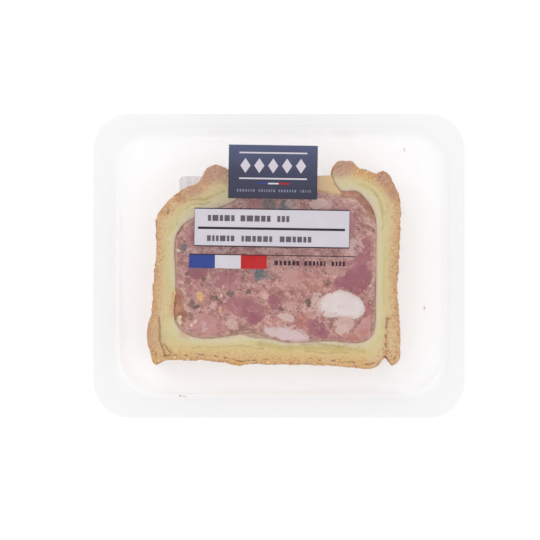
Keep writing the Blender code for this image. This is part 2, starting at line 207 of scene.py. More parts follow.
class Paint(Graph):
    """A material, whose places are millimetres of Object coordinates."""

    def __init__(self, name, **constants):
        self.material = bpy.data.materials.new(name)
        self.material.use_nodes = True
        super().__init__(self.material.node_tree)
        self.shader = self.tree.nodes["Principled BSDF"]
        self.feed(**constants)
        self.place = self.vectors("SCALE", self.add("ShaderNodeTexCoord", {}, out="Object"), Scale=1 / MM)

    def vectors(self, operation, *values, **named):
        """A Vector Math node."""
        return self.add("ShaderNodeVectorMath", {"operation": operation}, *values, **named)

    def ramp(self, value, stops):
        """A colour that runs through stops, each a place from 0 to 1 and a tone, as the value grows."""
        colour = self.add("ShaderNodeValToRGB", {}, value)
        elements = colour.socket.node.color_ramp.elements
        while len(elements) < len(stops):
            elements.new(0.5)
        for element, (place, *channels) in zip(elements, stops):
            element.position = place
            element.color = tone(*channels)
        return colour

    def blend(self, factor, first, second):
        """Colours mixed by a factor, through the colour sockets of the Mix node."""
        unused = [None] * 5
        return self.add("ShaderNodeMix", {"data_type": "RGBA"}, factor, *unused, first, second, out=2)

    def coat(self, colour, mask, strength, *channels):
        """A tone laid over a colour where a mask says, at a strength from 0 to 1."""
        return self.blend(mask * strength, colour, tone(*channels))

    def noise(self, size, detail=3.0, where=None, out="Fac"):
        """Cloudy noise whose patches are about size millimetres across, from 0 to 1."""
        return self.add(
            "ShaderNodeTexNoise", {}, out=out, Vector=where or self.place, Scale=1 / size, Detail=detail,
            Roughness=NOISE_ROUGHNESS)

    def cells(self, size, out="Distance", where=None, feature="F1"):
        """Random cells about size millimetres across: the distance to each one's middle, or its colour."""
        settings = {"feature": feature}
        return self.add(
            "ShaderNodeTexVoronoi", settings, out=out, Vector=where or self.place, Scale=1 / size)

    def attribute(self, name, out="Fac"):
        """A value that the mesh carries at its points."""
        return self.add("ShaderNodeAttribute", {"attribute_name": name}, out=out)

    def part(self, vector, axis):
        """The X, Y or Z part of a vector."""
        return self.add("ShaderNodeSeparateXYZ", {}, vector, out=axis)

    def stretched(self, scale, turn=0.0, where=None):
        """Places turned about Z and then scaled, for patterns that run one way."""
        turned = self.add("ShaderNodeMapping", {}, where or self.place, Rotation=(0.0, 0.0, turn))
        return self.vectors("MULTIPLY", turned, scale)

    def streaks(self, scale, detail=2.0, turn=0.0, where=None):
        """Noise drawn out along one direction."""
        return self.noise(1.0, detail, where=self.stretched(scale, turn, where))

    def bump(self, height, depth):
        """Relief of a depth in millimetres."""
        return self.add("ShaderNodeBump", {}, Height=height, Distance=depth * MM, Strength=1.0)

    def feed(self, **values):
        """Leads wires or plain values to the Principled shader's sockets."""
        for name, value in values.items():
            self.join(value, self.shader.inputs[name.replace("_", " ")])
        return self.material

    def see_through(self, opacity, tint):
        """Lets the surface show only as far as its opacity, a number or a wire."""
        clear = self.add("ShaderNodeBsdfTransparent", {}, Color=tint)
        mixed = self.add("ShaderNodeMixShader", {}, opacity, clear, Wire(self, self.shader.outputs["BSDF"]))
        self.join(mixed, self.tree.nodes["Material Output"].inputs["Surface"])
        return self.material


WHITE = (1.0, 1.0, 1.0, 1.0)
NOISE_ROUGHNESS = 0.55
print("shader maths ready")

# %% [markdown]
# The floor is a plain white sheet, far larger than the pack. It glows a little, as a light
# table does, so that it burns out to white and no dark shadow gathers inside the clear walls.

# %% The floor
FLOOR_HALF = 3.0
FLOOR_WHITE = (0.6, 0.6, 0.6, 1.0)
FLOOR_GLOW = 0.48
SQUARE = [(-1, -1), (1, -1), (1, 1), (-1, 1)]

floor_paint = Paint(
    "floor_white", Roughness=0.9, Base_Color=FLOOR_WHITE, Emission_Color=WHITE, Emission_Strength=FLOOR_GLOW)
floor_mesh = bpy.data.meshes.new("floor")
floor_corners = [(x * FLOOR_HALF, y * FLOOR_HALF, 0.0) for x, y in SQUARE]
floor_mesh.from_pydata(floor_corners, [], [(0, 1, 2, 3)])
floor_mesh.materials.append(floor_paint.material)
floor = bpy.data.objects.new("floor", floor_mesh)
bpy.context.scene.collection.objects.link(floor)
print("floor side, m:", 2 * FLOOR_HALF)

# %% [markdown]
# ## Helpers for meshes
# The food is irregular all over, so each piece starts from a copy of its own solid, is divided
# into small even faces with the Remesh modifier, and then has its points moved by noise. The
# frame's solids themselves are never touched. Numbers that the materials need, such as how
# deep a point lies under the baked surface, are kept on the mesh as attributes.

# %% Copies, outlines and fine meshes
WELD_REACH = 0.001 * MM
CAP_DEPTH = 0.1 * MM
EDGE_STEP = 0.3 * MM
FOOD_SLOTS = ("crust", "forcemeat", "ham", "poultry", "morel", "nut", "jelly")


def welded_solid(name):
    """A copy of a CAD node's mesh with its loose triangles joined, open for work."""
    work = bmesh.new()
    work.from_mesh(frame["nodes"][name].data)
    bmesh.ops.remove_doubles(work, verts=work.verts, dist=WELD_REACH)
    return work


def as_mesh(work, name):
    """Closes the work into a mesh."""
    mesh = bpy.data.meshes.new(name)
    work.to_mesh(mesh)
    work.free()
    return mesh


def merged_mesh(name):
    """A copy of a CAD node's mesh, joined up."""
    return as_mesh(welded_solid(name), name + "_copy")


def upper_outline(name):
    """The longest edge of a node's upper cut face, anticlockwise, as 2D points in metres."""
    work = welded_solid(name)
    top = max(point.co.z for point in work.verts)
    cap = {face for face in work.faces if min(point.co.z for point in face.verts) > top - CAP_DEPTH}
    onward = {}
    for face in cap:
        for corner in face.loops:
            others = [other for other in corner.edge.link_faces if other is not face]
            if not any(other in cap for other in others):
                onward[corner.vert] = corner.link_loop_next.vert
    loops = []
    while onward:
        start, point = onward.popitem()
        loop = [start.co.xy, point.co.xy]
        while point in onward:
            point = onward.pop(point)
            loop.append(point.co.xy)
        loops.append([Vector(place) for place in loop[:-1]])
    work.free()
    return max(loops, key=lambda loop: sum((a - b).length for a, b in zip(loop, loop[1:])))


def prism(outline, low, high):
    """A closed solid on an outline, as a mesh."""
    work = bmesh.new()
    base = work.faces.new([work.verts.new((point.x, point.y, low)) for point in outline])
    raised = bmesh.ops.extrude_face_region(work, geom=[base])["geom"]
    moved = [item for item in raised if isinstance(item, bmesh.types.BMVert)]
    bmesh.ops.translate(work, verts=moved, vec=(0.0, 0.0, high - low))
    bmesh.ops.recalc_face_normals(work, faces=work.faces)
    return as_mesh(work, "prism")


def evaluated_mesh(made):
    """The object's mesh with its modifiers worked in."""
    bpy.context.view_layer.update()
    seen = made.evaluated_get(bpy.context.evaluated_depsgraph_get())
    return bpy.data.meshes.new_from_object(seen)


def put(name, mesh):
    """A new object that shows a mesh."""
    made = bpy.data.objects.new(name, mesh)
    bpy.context.scene.collection.objects.link(made)
    return made


def fine(name, mesh, voxel, smoothing):
    """An object of small even faces in the shape of a closed mesh, with its edges softened."""
    made = put(name, mesh)
    remesh = made.modifiers.new("even faces", "REMESH")
    remesh.mode = "VOXEL"
    remesh.voxel_size = voxel
    remesh.use_smooth_shade = True
    if smoothing:
        soften = made.modifiers.new("soft edges", "SMOOTH")
        soften.factor = 0.5
        soften.iterations = smoothing
    fine_mesh = evaluated_mesh(made)
    made.modifiers.clear()
    made.data = fine_mesh
    return made


def points_of(made):
    """The places of an object's points, one row each."""
    places = np.empty(len(made.data.vertices) * 3)
    made.data.vertices.foreach_get("co", places)
    return places.reshape(-1, 3)


def normals_of(made):
    """The direction that the surface faces at each point."""
    normals = np.empty(len(made.data.vertices) * 3)
    made.data.vertices.foreach_get("normal", normals)
    return normals.reshape(-1, 3)


def set_points(made, places):
    """Moves an object's points."""
    made.data.vertices.foreach_set("co", places.ravel())
    made.data.update()


def cloud(places, size, seed, octaves=3):
    """Noise from about -1 to 1 at each place, with patches of a size in metres."""
    shift = Vector((seed * 7.3, seed * 3.1, seed * 5.7))
    return np.array([
        noise.fractal(Vector(place) / size + shift, 0.8, 2.1, octaves) for place in places])


def drift(places, size, seed):
    """Noise directions at each place."""
    shift = Vector((seed * 2.9, seed * 8.3, seed * 4.1))
    return np.array([noise.noise_vector(Vector(place) / size + shift) for place in places])


def soft_step(values, low, high):
    """0 at low and 1 at high, with soft ends."""
    share = np.clip((values - low) / (high - low), 0.0, 1.0)
    return share * share * (3.0 - 2.0 * share)


def keep(made, **values):
    """Stores numbers, one for each point, as attributes by name."""
    for name, numbers in values.items():
        layer = made.data.attributes.new(name, "FLOAT", "POINT")
        layer.data.foreach_set("value", numbers.astype(np.float32))


def keep_vector(made, name, vectors):
    """Stores one vector a point as an attribute."""
    layer = made.data.attributes.new(name, "FLOAT_VECTOR", "POINT")
    layer.data.foreach_set("vector", vectors.astype(np.float32).ravel())


def edges_of(outline):
    """The straight edges round a closed outline."""
    return list(zip(outline, outline[1:] + outline[:1]))


def distance_to(places, edges):
    """How far each place is in plan from the nearest of some edges, in metres."""
    dense = []
    for start, end in edges:
        steps = max(1, int((end - start).length / EDGE_STEP))
        dense += [start.lerp(end, step / steps) for step in range(steps)]
    tree = kdtree.KDTree(len(dense))
    for index, point in enumerate(dense):
        tree.insert((point.x, point.y, 0.0), index)
    tree.balance()
    return np.array([tree.find((place[0], place[1], 0.0))[2] for place in places])


def attach(made, slot_name, material, *nodes):
    """Gives a piece its material and body and hides the nodes it stands for; only pieces in food slots cast
    shade.
    """
    made.data.materials.clear()
    made.data.materials.append(material)
    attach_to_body(made, "root")
    if nodes:
        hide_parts(*nodes)
    made.visible_shadow = slot_name in FOOD_SLOTS
    return made


crust_edges = edges_of(upper_outline("crust"))
food_edges = edges_of(upper_outline("forcemeat")) + edges_of(upper_outline("jelly_top"))
print("edges:", len(crust_edges), "round the pastry,", len(food_edges), "round the filling")

# %% [markdown]
# ## Pastry
# The case was baked from outside in, and the cut shows it: a brown skin, then cream dough in
# fine layers, a yellow line, and a damp edge where the juices reached it. So each point of the
# mesh keeps its distance from the baked side and from the filling, and the share between the
# two picks its colour. The lips and the upper corner stood proud in the oven and are darkest.
# Near the foot the skin has split from the dough, so those cracks are cut as grooves.

# %% The pastry's surface
PASTRY_GRAIN = 0.5 * MM
JOINT_WIDTH = 1.2 * MM
BAKED_DEPTH = 1.2 * MM
# Round patches of the bake, each with its middle, its radius in mm and its strength
PASTRY_PATCHES = {
    "browned": [
        (-25.5, 38.6, 6.0, 1.0), (-33.5, 31.5, 5.0, 0.4), (24.5, 40.8, 6.0, 1.0), (43.0, 36.0, 5.5, 1.0),
        (-49.5, -28.0, 5.0, 0.3), (45.5, 29.0, 4.0, 0.45), (-17.0, 36.5, 4.0, 0.5),
        (-37.0, 29.0, 3.5, 0.3),
    ],
    "singed": [
        (40.8, 37.4, 1.4, 1.0), (-25.2, 40.2, 2.2, 0.7), (25.0, 41.2, 2.6, 0.5), (21.6, 37.6, 1.6, 0.5),
    ],
    "toasted": [
        (-38.4, 26.4, 2.6, 0.9), (-33.4, 29.8, 3.0, 0.9), (-28.6, 33.4, 2.6, 0.7),
        (-43.6, 22.0, 2.6, 0.5), (45.2, 30.4, 4.0, 0.9), (40.2, 33.6, 2.4, 0.6), (47.6, 25.0, 3.0, 0.7),
        (48.2, 20.0, 2.2, 0.5), (-21.0, 33.0, 1.6, 0.6),
    ],
    "golden": [
        (30.6, 36.6, 2.2, 0.8), (34.0, 35.8, 2.8, 0.9), (38.0, 35.2, 2.6, 0.8), (-6.0, -36.4, 2.6, 0.5),
        (4.0, -36.8, 2.6, 0.6), (14.0, -37.2, 2.6, 0.6), (24.0, -37.6, 2.6, 0.6), (32.0, -38.0, 2.6, 0.7),
        (41.5, 31.5, 2.4, 0.6),
    ],
    "dough": [
        (39.4, -30.6, 3.0, 1.0), (36.0, -33.6, 2.4, 0.7), (39.4, -34.4, 2.4, 1.0),
        (43.4, -30.6, 1.2, 0.9), (-44.2, -26.6, 1.6, 0.8), (-42.4, -31.4, 1.8, 0.7),
        (33.2, 33.4, 2.0, 0.7), (40.6, 27.2, 1.6, 0.6), (-50.6, -29.0, 1.0, 0.5), (-22.0, 30.6, 2.0, 0.5),
    ],
    "rusty": [(-37.2, -26.8, 2.2, 0.8), (-35.2, -27.8, 1.3, 0.5)],
    "amber": [(-48.3, -36.8, 1.7, 0.9), (-16.6, -38.0, 2.2, 0.9), (-20.0, -37.0, 1.2, 0.4)],
}
# Long patches: a half width in mm, a strength, and the line that they follow
PASTRY_BANDS = {
    "olive": [
        # The first olive band, along the foot next to the filling, is painted shade of the recess between
        # filling and dough; the others are the dough's own olive lines
        (1.2, 0.75, [
            (-7.0, -30.4), (-3.0, -31.2), (3.0, -31.8), (10.0, -31.6), (18.0, -31.8), (33.0, -33.0)]),
        (0.7, 0.5, [(-34.0, 25.2), (-29.6, 26.2), (-23.0, 27.8)]),
        (0.7, 0.5, [(33.5, 31.2), (37.0, 28.8), (39.6, 25.0), (40.6, 20.0)]),
        (1.2, 0.5, [(43.6, 6.0), (44.2, -8.0)]),
    ],
    "stained": [
        (0.9, 1.0, [(-14.0, -26.2), (-11.0, -26.8), (-8.0, -27.3), (-4.6, -27.9)]),
        (0.4, 0.6, [(-31.0, -28.3), (-24.0, -27.9), (-16.0, -26.9)]),
        (0.4, 0.6, [(8.0, -29.2), (16.0, -29.8)]),
    ],
    "dough": [
        (1.2, 1.2, [(39.9, -20.0), (40.0, -30.0), (39.2, -34.0)]),
        (0.8, 1.0, [(43.0, -22.0), (43.2, -32.0)]), (1.2, 0.8, [(-43.6, -12.0), (-43.8, -18.0)]),
    ],
}
# How strongly each kind covers the dough, and its tone
PASTRY_TONES = {
    "olive": (0.65, 184, 162, 100), "golden": (0.8, 220, 172, 108), "rusty": (0.7, 212, 168, 132),
    "toasted": (0.8, 190, 138, 100), "stained": (0.85, 176, 141, 124), "singed": (0.8, 146, 98, 92),
    "amber": (0.75, 222, 172, 88),
}
PALE_RISE = 2.8 * MM
# Where the baked side stands further out or in than its plain outline: a middle, a reach and a push in mm
SIDE_PUSHES = [
    (-48.3, 16.4, 3.0, -0.7), (-49.8, -9.0, 9.0, 0.45), (-10.5, -38.3, 4.0, -0.75), (3.0, -38.6, 9.0, 0.3),
    (46.9, -5.0, 8.0, 0.15), (47.2, 16.0, 3.5, -0.3), (47.2, -33.5, 4.5, -0.5),
    (34.0, 37.6, 2.4, 0.8), (-34.4, 31.6, 2.4, 0.3), (24.6, 41.4, 2.4, -0.5), (41.0, 37.2, 1.6, -0.4),
    (-24.6, 40.0, 2.0, -0.3),
]
# The dent at the foot of the right crack: its middle, radius and depth in mm
FOOT_DENT = (41.5, -38.4, 1.9, 2.5)
CRACKS = {
    "left": [(-46.9, -19.9), (-46.5, -23.7), (-46.5, -28.9), (-45.4, -32.2), (-44.2, -35.2)],
    "left_inner": [(-44.7, -30.4), (-43.4, -32.4), (-42.0, -34.0)],
    "right": [(42.2, -20.4), (41.9, -24.9)],
    "right_low": [(41.8, -27.0), (41.6, -30.6), (42.2, -33.4)],
    "upper_left": [(-43.1, 21.8), (-43.6, 20.0)],
}
CRACK_HALF = 0.38 * MM
CRACK_DEPTH = 0.45
# Folds between the rolled layers, which show where the wall bends and along the foot
CREASES = {
    "upper_right": [(29.6, 32.4), (33.5, 31.3), (37.0, 28.9), (39.6, 25.0), (40.6, 20.6), (40.4, 14.0)],
    "upper_right_outer": [(34.0, 33.4), (38.4, 30.8), (41.6, 26.6), (42.8, 20.0)],
    "upper_left": [(-35.0, 25.0), (-30.3, 25.7), (-25.0, 27.2), (-21.1, 29.6)],
    "upper_left_inner": [(-40.2, 16.0), (-38.6, 20.4), (-34.0, 23.6), (-27.0, 25.0)],
    "foot": [(8.0, -30.4), (16.0, -30.8), (24.0, -31.6), (33.0, -31.0)],
    "foot_outer": [(10.0, -33.2), (19.0, -33.8), (30.0, -34.0)],
    "foot_left": [(-34.0, -31.6), (-24.0, -31.8), (-14.0, -31.0), (-6.0, -32.6)],
}
CREASE_HALF = 0.3 * MM


def spots_at(places, spots, softness=0.35):
    """The strongest of some round spots at each place: spots are x, y, radius in mm and strength."""
    total = np.zeros(len(places))
    for x, y, radius, strength in spots:
        away = np.hypot(places[:, 0] / MM - x, places[:, 1] / MM - y) / radius
        total = np.maximum(total, strength * soft_step(-away, -1.0 - softness, -1.0 + softness))
    return total


def along_lines(places, lines, half):
    """1 along some lines, whose corners are in mm, falling softly to 0 past their half width."""
    edges = []
    for line in lines:
        corners = [Vector(point) * MM for point in line]
        edges += zip(corners, corners[1:])
    return soft_step(-distance_to(places, edges), -2.2 * half, -0.2 * half)


def patch_share(places, patch, spots, bands):
    """How far each place lies in a kind of patch, which has round spots, long bands or both."""
    share = spots_at(places, spots.get(patch, []), 0.6)
    for half, strength, line in bands.get(patch, []):
        share = np.maximum(share, strength * along_lines(places, [line], half * MM))
    return share


pastry = fine("pastry_case", merged_mesh("crust"), PASTRY_GRAIN, 0)
places = points_of(pastry)
ends_from_food = [distance_to([start.to_3d(), end.to_3d()], food_edges).min() for start, end in crust_edges]
baked_edges = [edge for edge, away in zip(crust_edges, ends_from_food) if away > JOINT_WIDTH]
from_side = distance_to(places, baked_edges)
from_food = distance_to(places, food_edges)
at_side = soft_step(-from_side, -BAKED_DEPTH, -0.2 * MM)
browned = spots_at(places, PASTRY_PATCHES["browned"])
wander = drift(places, 1.5 * MM, 11.0) * 0.4 * MM
cracked = along_lines(places + wander, CRACKS.values(), CRACK_HALF)
sway = drift(places, 4.0 * MM, 13.0) * 0.9 * MM
creased = along_lines(places + sway, CREASES.values(), CREASE_HALF)

outward = normals_of(pastry)
crags = 0.3 * cloud(places, 3.4 * MM, 1.0) + 0.34 * cloud(places, 1.1 * MM, 2.0, 2)
crags = crags * (1.0 + 0.4 * browned) * at_side
for x, y, reach, push in SIDE_PUSHES:
    crags += push * spots_at(places, [(x, y, reach, 1.0)], 0.9) * at_side
crumb = 0.12 * cloud(places, 1.2 * MM, 3.0) * (1.0 - at_side) - CRACK_DEPTH * cracked - 0.15 * creased
moved = places.copy()
moved[:, :2] += outward[:, :2] * (crags * MM)[:, None]
x, y, reach, depth = FOOT_DENT
moved[:, 1] += depth * spots_at(places, [(x, y, reach, 1.0)], 0.9) * MM
moved[:, 2] += outward[:, 2] * crumb * MM
set_points(pastry, moved)
wavy = places + drift(places, 1.6 * MM, 14.0) * 0.8 * MM
inner = from_side + PALE_RISE * patch_share(wavy, "dough", PASTRY_PATCHES, PASTRY_BANDS)
keep(pastry, from_side=inner / MM, from_food=from_food / MM)
keep(pastry, cracked=cracked, creased=creased, browned=browned)
keep(pastry, **{patch: patch_share(wavy, patch, PASTRY_PATCHES, PASTRY_BANDS) for patch in PASTRY_TONES})
keep(pastry, scatter=at_side * (1.0 - 0.5 * browned))
print("pastry points:", len(places))

# %% [markdown]
# The dough was rolled, so its colour runs in fine layers along the wall. Noise that is read
# quickly across the wall and slowly along it draws those layers, and grains of brown and
# cream break up the baked skin.

# %% The pastry's finish


def pastry_finish():
    """Layers of dough between the baked side and the filling, with the skin's grain and the stains."""
    paint = Paint("baked_pastry", Roughness=0.85, Subsurface_Weight=0.1, Subsurface_Scale=1.0 * MM)
    side = paint.attribute("from_side")
    food = paint.attribute("from_food")
    browned = paint.attribute("browned")
    coarse = paint.noise(3.0, 4.0)
    grain = paint.noise(0.8, 3.0)
    specks = paint.noise(0.45, 2.0)
    across = paint.add("ShaderNodeCombineXYZ", {}, side * 1.5, food * 0.4, 0.0)
    along = paint.stretched((0.16, 0.16, 0.16))
    layers = paint.noise(1.0, 3.0, where=paint.vectors("ADD", across, along))
    share = side / (side + food)
    share = share + (coarse - 0.5) * 0.24 + (layers - 0.5) * 0.36 + (grain - 0.5) * 0.3 - browned * 0.12
    colour = paint.ramp(share, [
        (0.0, 213, 169, 125), (0.12, 216, 178, 132), (0.28, 218, 188, 141),
        (0.45, 217, 197, 148), (0.6, 216, 202, 153), (0.75, 216, 203, 162),
        (0.88, 217, 202, 172), (1.0, 209, 188, 164)])
    yellow = (share - 0.6).distance().between(0.14, 0.04) * paint.noise(6.0, 2.0).between(0.4, 0.6)
    colour = paint.coat(colour, yellow, 0.5, 203, 187, 124)
    base = paint.part(paint.place, "Y").between(-28.0, -33.0) * share.between(0.95, 0.6)
    base = base * paint.part(paint.place, "X").between(38.0, 33.0)
    colour = paint.coat(colour, base, 0.35, 224, 184, 110)
    broken = (grain - 0.5) * 0.5 + (coarse - 0.5) * 0.5
    for patch, look in PASTRY_TONES.items():
        colour = paint.coat(colour, (paint.attribute(patch) + broken).between(0.15, 1.0), *look)
    damp = (food + (grain - 0.5) * 1.0).between(1.3, 0.0)
    colour = paint.coat(colour, damp, 0.6, 184, 150, 130)
    creased = (paint.attribute("creased") + (grain - 0.5) * 0.8).between(0.3, 0.9)
    creased = creased * paint.noise(5.0, 2.0).between(0.3, 0.55)
    colour = paint.coat(colour, creased, 0.5, 168, 148, 96)
    hump = browned * (paint.noise(2.0, 3.0) * 0.7 + 0.5)
    colour = paint.coat(colour, hump, 0.85, 184, 140, 126)
    streaks = paint.streaks((0.5, 1.3, 0.6), 3.0, -0.5)
    colour = paint.coat(colour, streaks.between(0.52, 0.66) * browned, 0.7, 146, 98, 90)
    colour = paint.coat(colour, streaks.between(0.47, 0.34) * browned, 0.6, 214, 174, 152)
    skin = share.between(0.6, 0.15) * (1.0 - browned * 0.6)
    toasted = (coarse + (grain - 0.5) * 0.8).between(0.5, 0.66) * share.between(0.36, 0.05)
    colour = paint.coat(colour, toasted, 0.55, 198, 140, 92)
    colour = paint.coat(colour, specks.between(0.52, 0.64) * skin, 0.65, 172, 118, 76)
    colour = paint.coat(colour, specks.between(0.46, 0.34) * skin, 0.6, 232, 208, 168)
    colour = paint.coat(colour, grain.between(0.56, 0.7) * skin, 0.5, 204, 142, 88)
    pores = paint.noise(0.6, 1.0).between(0.62, 0.7) * share.between(0.6, 0.3)
    colour = paint.coat(colour, pores, 0.6, 180, 140, 98)
    foot = paint.part(paint.place, "Y").between(-33.0, -34.5)
    gate = paint.noise(3.0, 2.0).between(0.46, 0.56)
    seam = (side + (coarse - 0.5) * 1.2 - 1.9).distance().between(0.4, 0.1) * gate * foot
    cracked = (paint.attribute("cracked") + (grain - 0.5) * 0.9).between(0.3, 0.85)
    colour = paint.coat(colour, cracked, 0.6, 146, 98, 58)
    colour = paint.coat(colour, seam, 0.75, 120, 76, 44)
    colour = paint.coat(colour, side.between(0.45, 0.1), 0.45, 196, 142, 92)
    relief = paint.bump(grain + specks * 0.6 + layers * 0.4, 0.4)
    return paint.feed(Base_Color=colour, Normal=relief)


attach(pastry, "crust", pastry_finish(), "crust")
print("pastry finished")

# %% [markdown]
# ## Forcemeat
# The filling is coarse mince set firm, so its cut face is a mosaic of small pieces of pink,
# tan and pale fat, with a redder zone, dark specks and a few soft patches. The slab is made
# from the outline of the filling alone, without its pockets, and the larger chunks are set
# into it afterwards, so no gap shows round them.

# %% The forcemeat's slab
FILLING_GRAIN = 0.5 * MM
CLOSE_GAP = 0.5 * MM
RIM_DROP = 0.4 * MM
# Round patches of a kind, each with its middle, its radius in mm and its strength
FILLING_PATCHES = {
    "pale": [
        (-18.5, -22.3, 2.8, 0.8), (-25.6, -15.6, 1.9, 0.7), (-28.6, -17.4, 1.6, 0.5),
        (-4.8, -3.6, 2.3, 0.5), (-21.4, -8.0, 1.1, 0.7), (-5.0, -12.2, 1.3, 0.5), (13.4, -12.4, 1.4, 0.6),
        (12.8, -17.2, 1.4, 0.6), (35.9, -7.5, 0.9, 0.9), (18.0, 23.8, 3.2, 0.7), (27.2, 8.6, 2.2, 0.8),
        (3.0, -26.0, 1.5, 0.5), (22.0, 3.6, 2.0, 0.4), (34.6, -26.6, 1.2, 0.6), (-2.8, -18.6, 1.4, 0.5),
        (-31.8, -9.6, 1.6, 0.5), (30.4, -21.0, 1.2, 0.5), (16.0, -21.6, 1.3, 0.6), (8.6, -1.4, 2.2, 0.4),
        (34.2, 17.4, 2.0, 0.6), (25.6, -22.8, 3.8, 1.0), (26.4, 7.0, 2.4, 0.7), (28.0, 3.0, 1.6, 0.6),
        (30.0, 7.6, 2.9, 1.4), (28.8, 5.4, 1.8, 1.0), (5.6, 24.4, 3.0, 1.0), (-14.6, 24.6, 3.0, 0.6),
        (-20.4, 23.8, 2.0, 0.9), (14.4, -15.0, 2.3, 1.4), (15.2, -11.8, 1.9, 1.2),
        (15.6, -17.8, 1.5, 1.0),
    ],
    "mauve": [
        (-31.9, -3.5, 2.2, 1.0), (-9.5, -20.3, 2.6, 1.0), (-12.2, -16.9, 3.4, 0.6),
        (-17.9, -15.2, 2.8, 0.5), (-25.4, -6.5, 2.5, 0.5), (-19.6, -4.4, 2.6, 0.6),
        (-18.4, -7.9, 1.8, 0.5), (-1.9, -13.4, 2.8, 0.8), (-1.6, -15.9, 1.9, 0.7),
        (-35.8, -10.4, 1.3, 0.6), (-23.2, -23.4, 2.6, 0.5), (17.3, -26.4, 2.8, 0.9),
        (31.0, -9.2, 2.3, 1.0), (26.7, -6.4, 2.8, 1.0), (32.4, -2.0, 3.2, 0.8), (-11.3, -5.3, 1.8, 0.4),
        (23.4, -6.6, 2.4, 0.9), (28.6, -4.6, 3.0, 0.9), (33.6, -8.6, 1.8, 0.8), (25.4, 0.8, 2.4, 0.6),
        (31.0, 6.0, 3.0, 0.6), (-32.5, 11.0, 3.0, 0.8), (34.0, -16.8, 1.6, 0.6), (6.0, 24.6, 3.0, 0.5),
    ],
    "red": [
        (15.4, -5.6, 5.6, 0.6), (9.0, -21.6, 3.4, 0.8), (29.4, -28.5, 1.9, 0.9), (26.2, -28.0, 1.3, 0.9),
        (33.4, -16.4, 2.6, 0.6), (-1.4, -8.8, 2.4, 0.5), (21.6, -9.0, 2.0, 0.5), (-17.0, -26.6, 2.4, 0.5),
        (8.0, -13.0, 3.6, 0.4), (24.6, 13.4, 2.8, 0.4), (35.9, -23.4, 1.0, 0.7), (9.0, -3.6, 3.0, 0.6),
        (12.6, -8.6, 3.0, 0.6), (20.6, -8.6, 2.4, 0.7), (33.0, -26.2, 2.2, 0.8), (36.0, -19.6, 1.6, 0.7),
        (28.0, -27.0, 1.6, 0.7), (-3.0, -10.0, 3.0, 0.4),
    ],
    # Most brown spots are darker scraps; those next to the pastry's right wall and foot are painted shadow
    # in the gap against the pastry
    "brown": [
        (-36.0, -5.9, 1.6, 0.8), (-34.6, -19.6, 1.7, 0.9), (-14.3, -24.6, 1.5, 0.9),
        (-17.3, -25.9, 1.7, 0.9), (-10.1, -25.1, 1.4, 0.8), (-34.3, -27.2, 1.1, 0.7),
        (-2.3, -5.4, 1.4, 0.9), (0.9, -11.0, 1.7, 0.7), (3.0, -14.6, 1.2, 0.6), (18.9, -6.8, 1.7, 0.8),
        (2.0, -12.4, 1.5, 0.8), (19.0, 1.4, 1.8, 0.6), (35.3, -14.3, 1.2, 0.9), (31.3, -22.1, 1.3, 0.8),
        (20.3, -23.4, 1.4, 0.7), (20.6, -21.0, 1.2, 0.7), (34.8, -17.5, 1.1, 0.6), (34.2, -5.7, 1.0, 0.8),
        (-14.3, -2.8, 1.0, 0.6), (-38.2, 1.0, 1.0, 0.6), (7.8, -16.0, 1.3, 0.5), (37.0, -8.0, 0.8, 0.8),
        (-31.8, 20.0, 1.6, 0.7), (26.4, -15.6, 0.9, 0.4), (-38.8, 13.2, 1.1, 0.8),
        (-37.6, 14.9, 1.1, 0.8), (36.8, -14.2, 1.2, 1.0), (36.9, -24.0, 1.2, 0.9),
        (36.9, -27.0, 1.2, 0.8), (9.8, -7.0, 1.2, 0.6),
    ],
    "dark": [
        (-35.8, -3.2, 0.9, 0.8), (-29.5, -5.3, 0.9, 0.9), (-29.5, -7.4, 0.8, 0.8),
        (-19.6, -10.7, 1.5, 0.8), (-18.2, -11.3, 1.0, 0.8), (-15.8, -9.0, 0.8, 0.8),
        (-26.2, -12.5, 1.2, 0.7), (-24.4, -12.8, 1.1, 0.8), (-22.6, -14.3, 0.8, 0.8),
        (-11.9, -10.1, 1.0, 0.9), (-33.4, -14.0, 1.2, 0.8), (-32.5, -15.7, 1.3, 0.8),
        (-30.7, -17.8, 0.7, 0.7), (0.9, -16.9, 0.9, 1.0), (18.9, -6.9, 0.9, 0.8), (28.3, -9.5, 0.8, 0.8),
        (-25.3, -1.8, 0.8, 0.7), (36.4, -18.6, 0.8, 0.6), (11.5, -14.3, 1.4, 1.2), (8.3, -15.8, 1.1, 0.5),
    ],
    "slate": [
        (-8.0, -3.4, 1.9, 0.9), (-8.4, -5.6, 1.3, 0.9), (-4.6, -4.7, 1.9, 0.65), (-4.4, -1.1, 2.4, 0.5),
        (-3.6, 23.8, 2.8, 1.1), (-37.0, 7.2, 1.7, 0.8), (22.0, 11.0, 1.4, 0.4),
    ],
    "cream": [
        (-22.6, -11.6, 0.8, 1.0), (-39.0, -20.7, 1.1, 1.4), (-38.5, -22.0, 0.8, 1.3),
        (-34.0, -22.8, 0.9, 0.9), (-32.5, -21.7, 0.9, 0.7), (-22.3, -19.0, 0.9, 0.6),
        (-31.4, -11.0, 1.3, 0.6), (-39.4, 6.2, 1.0, 0.7),
    ],
    "lilac": [
        (-29.4, -22.6, 1.6, 0.6), (-29.0, -24.4, 1.5, 0.6), (-26.0, -19.0, 1.8, 0.4),
        (24.0, -21.8, 1.6, 0.5), (2.0, -26.6, 3.2, 0.9), (6.6, -27.6, 3.0, 1.0), (10.0, -28.6, 2.2, 0.9),
        (-3.0, -25.6, 2.0, 0.7),
    ],
}
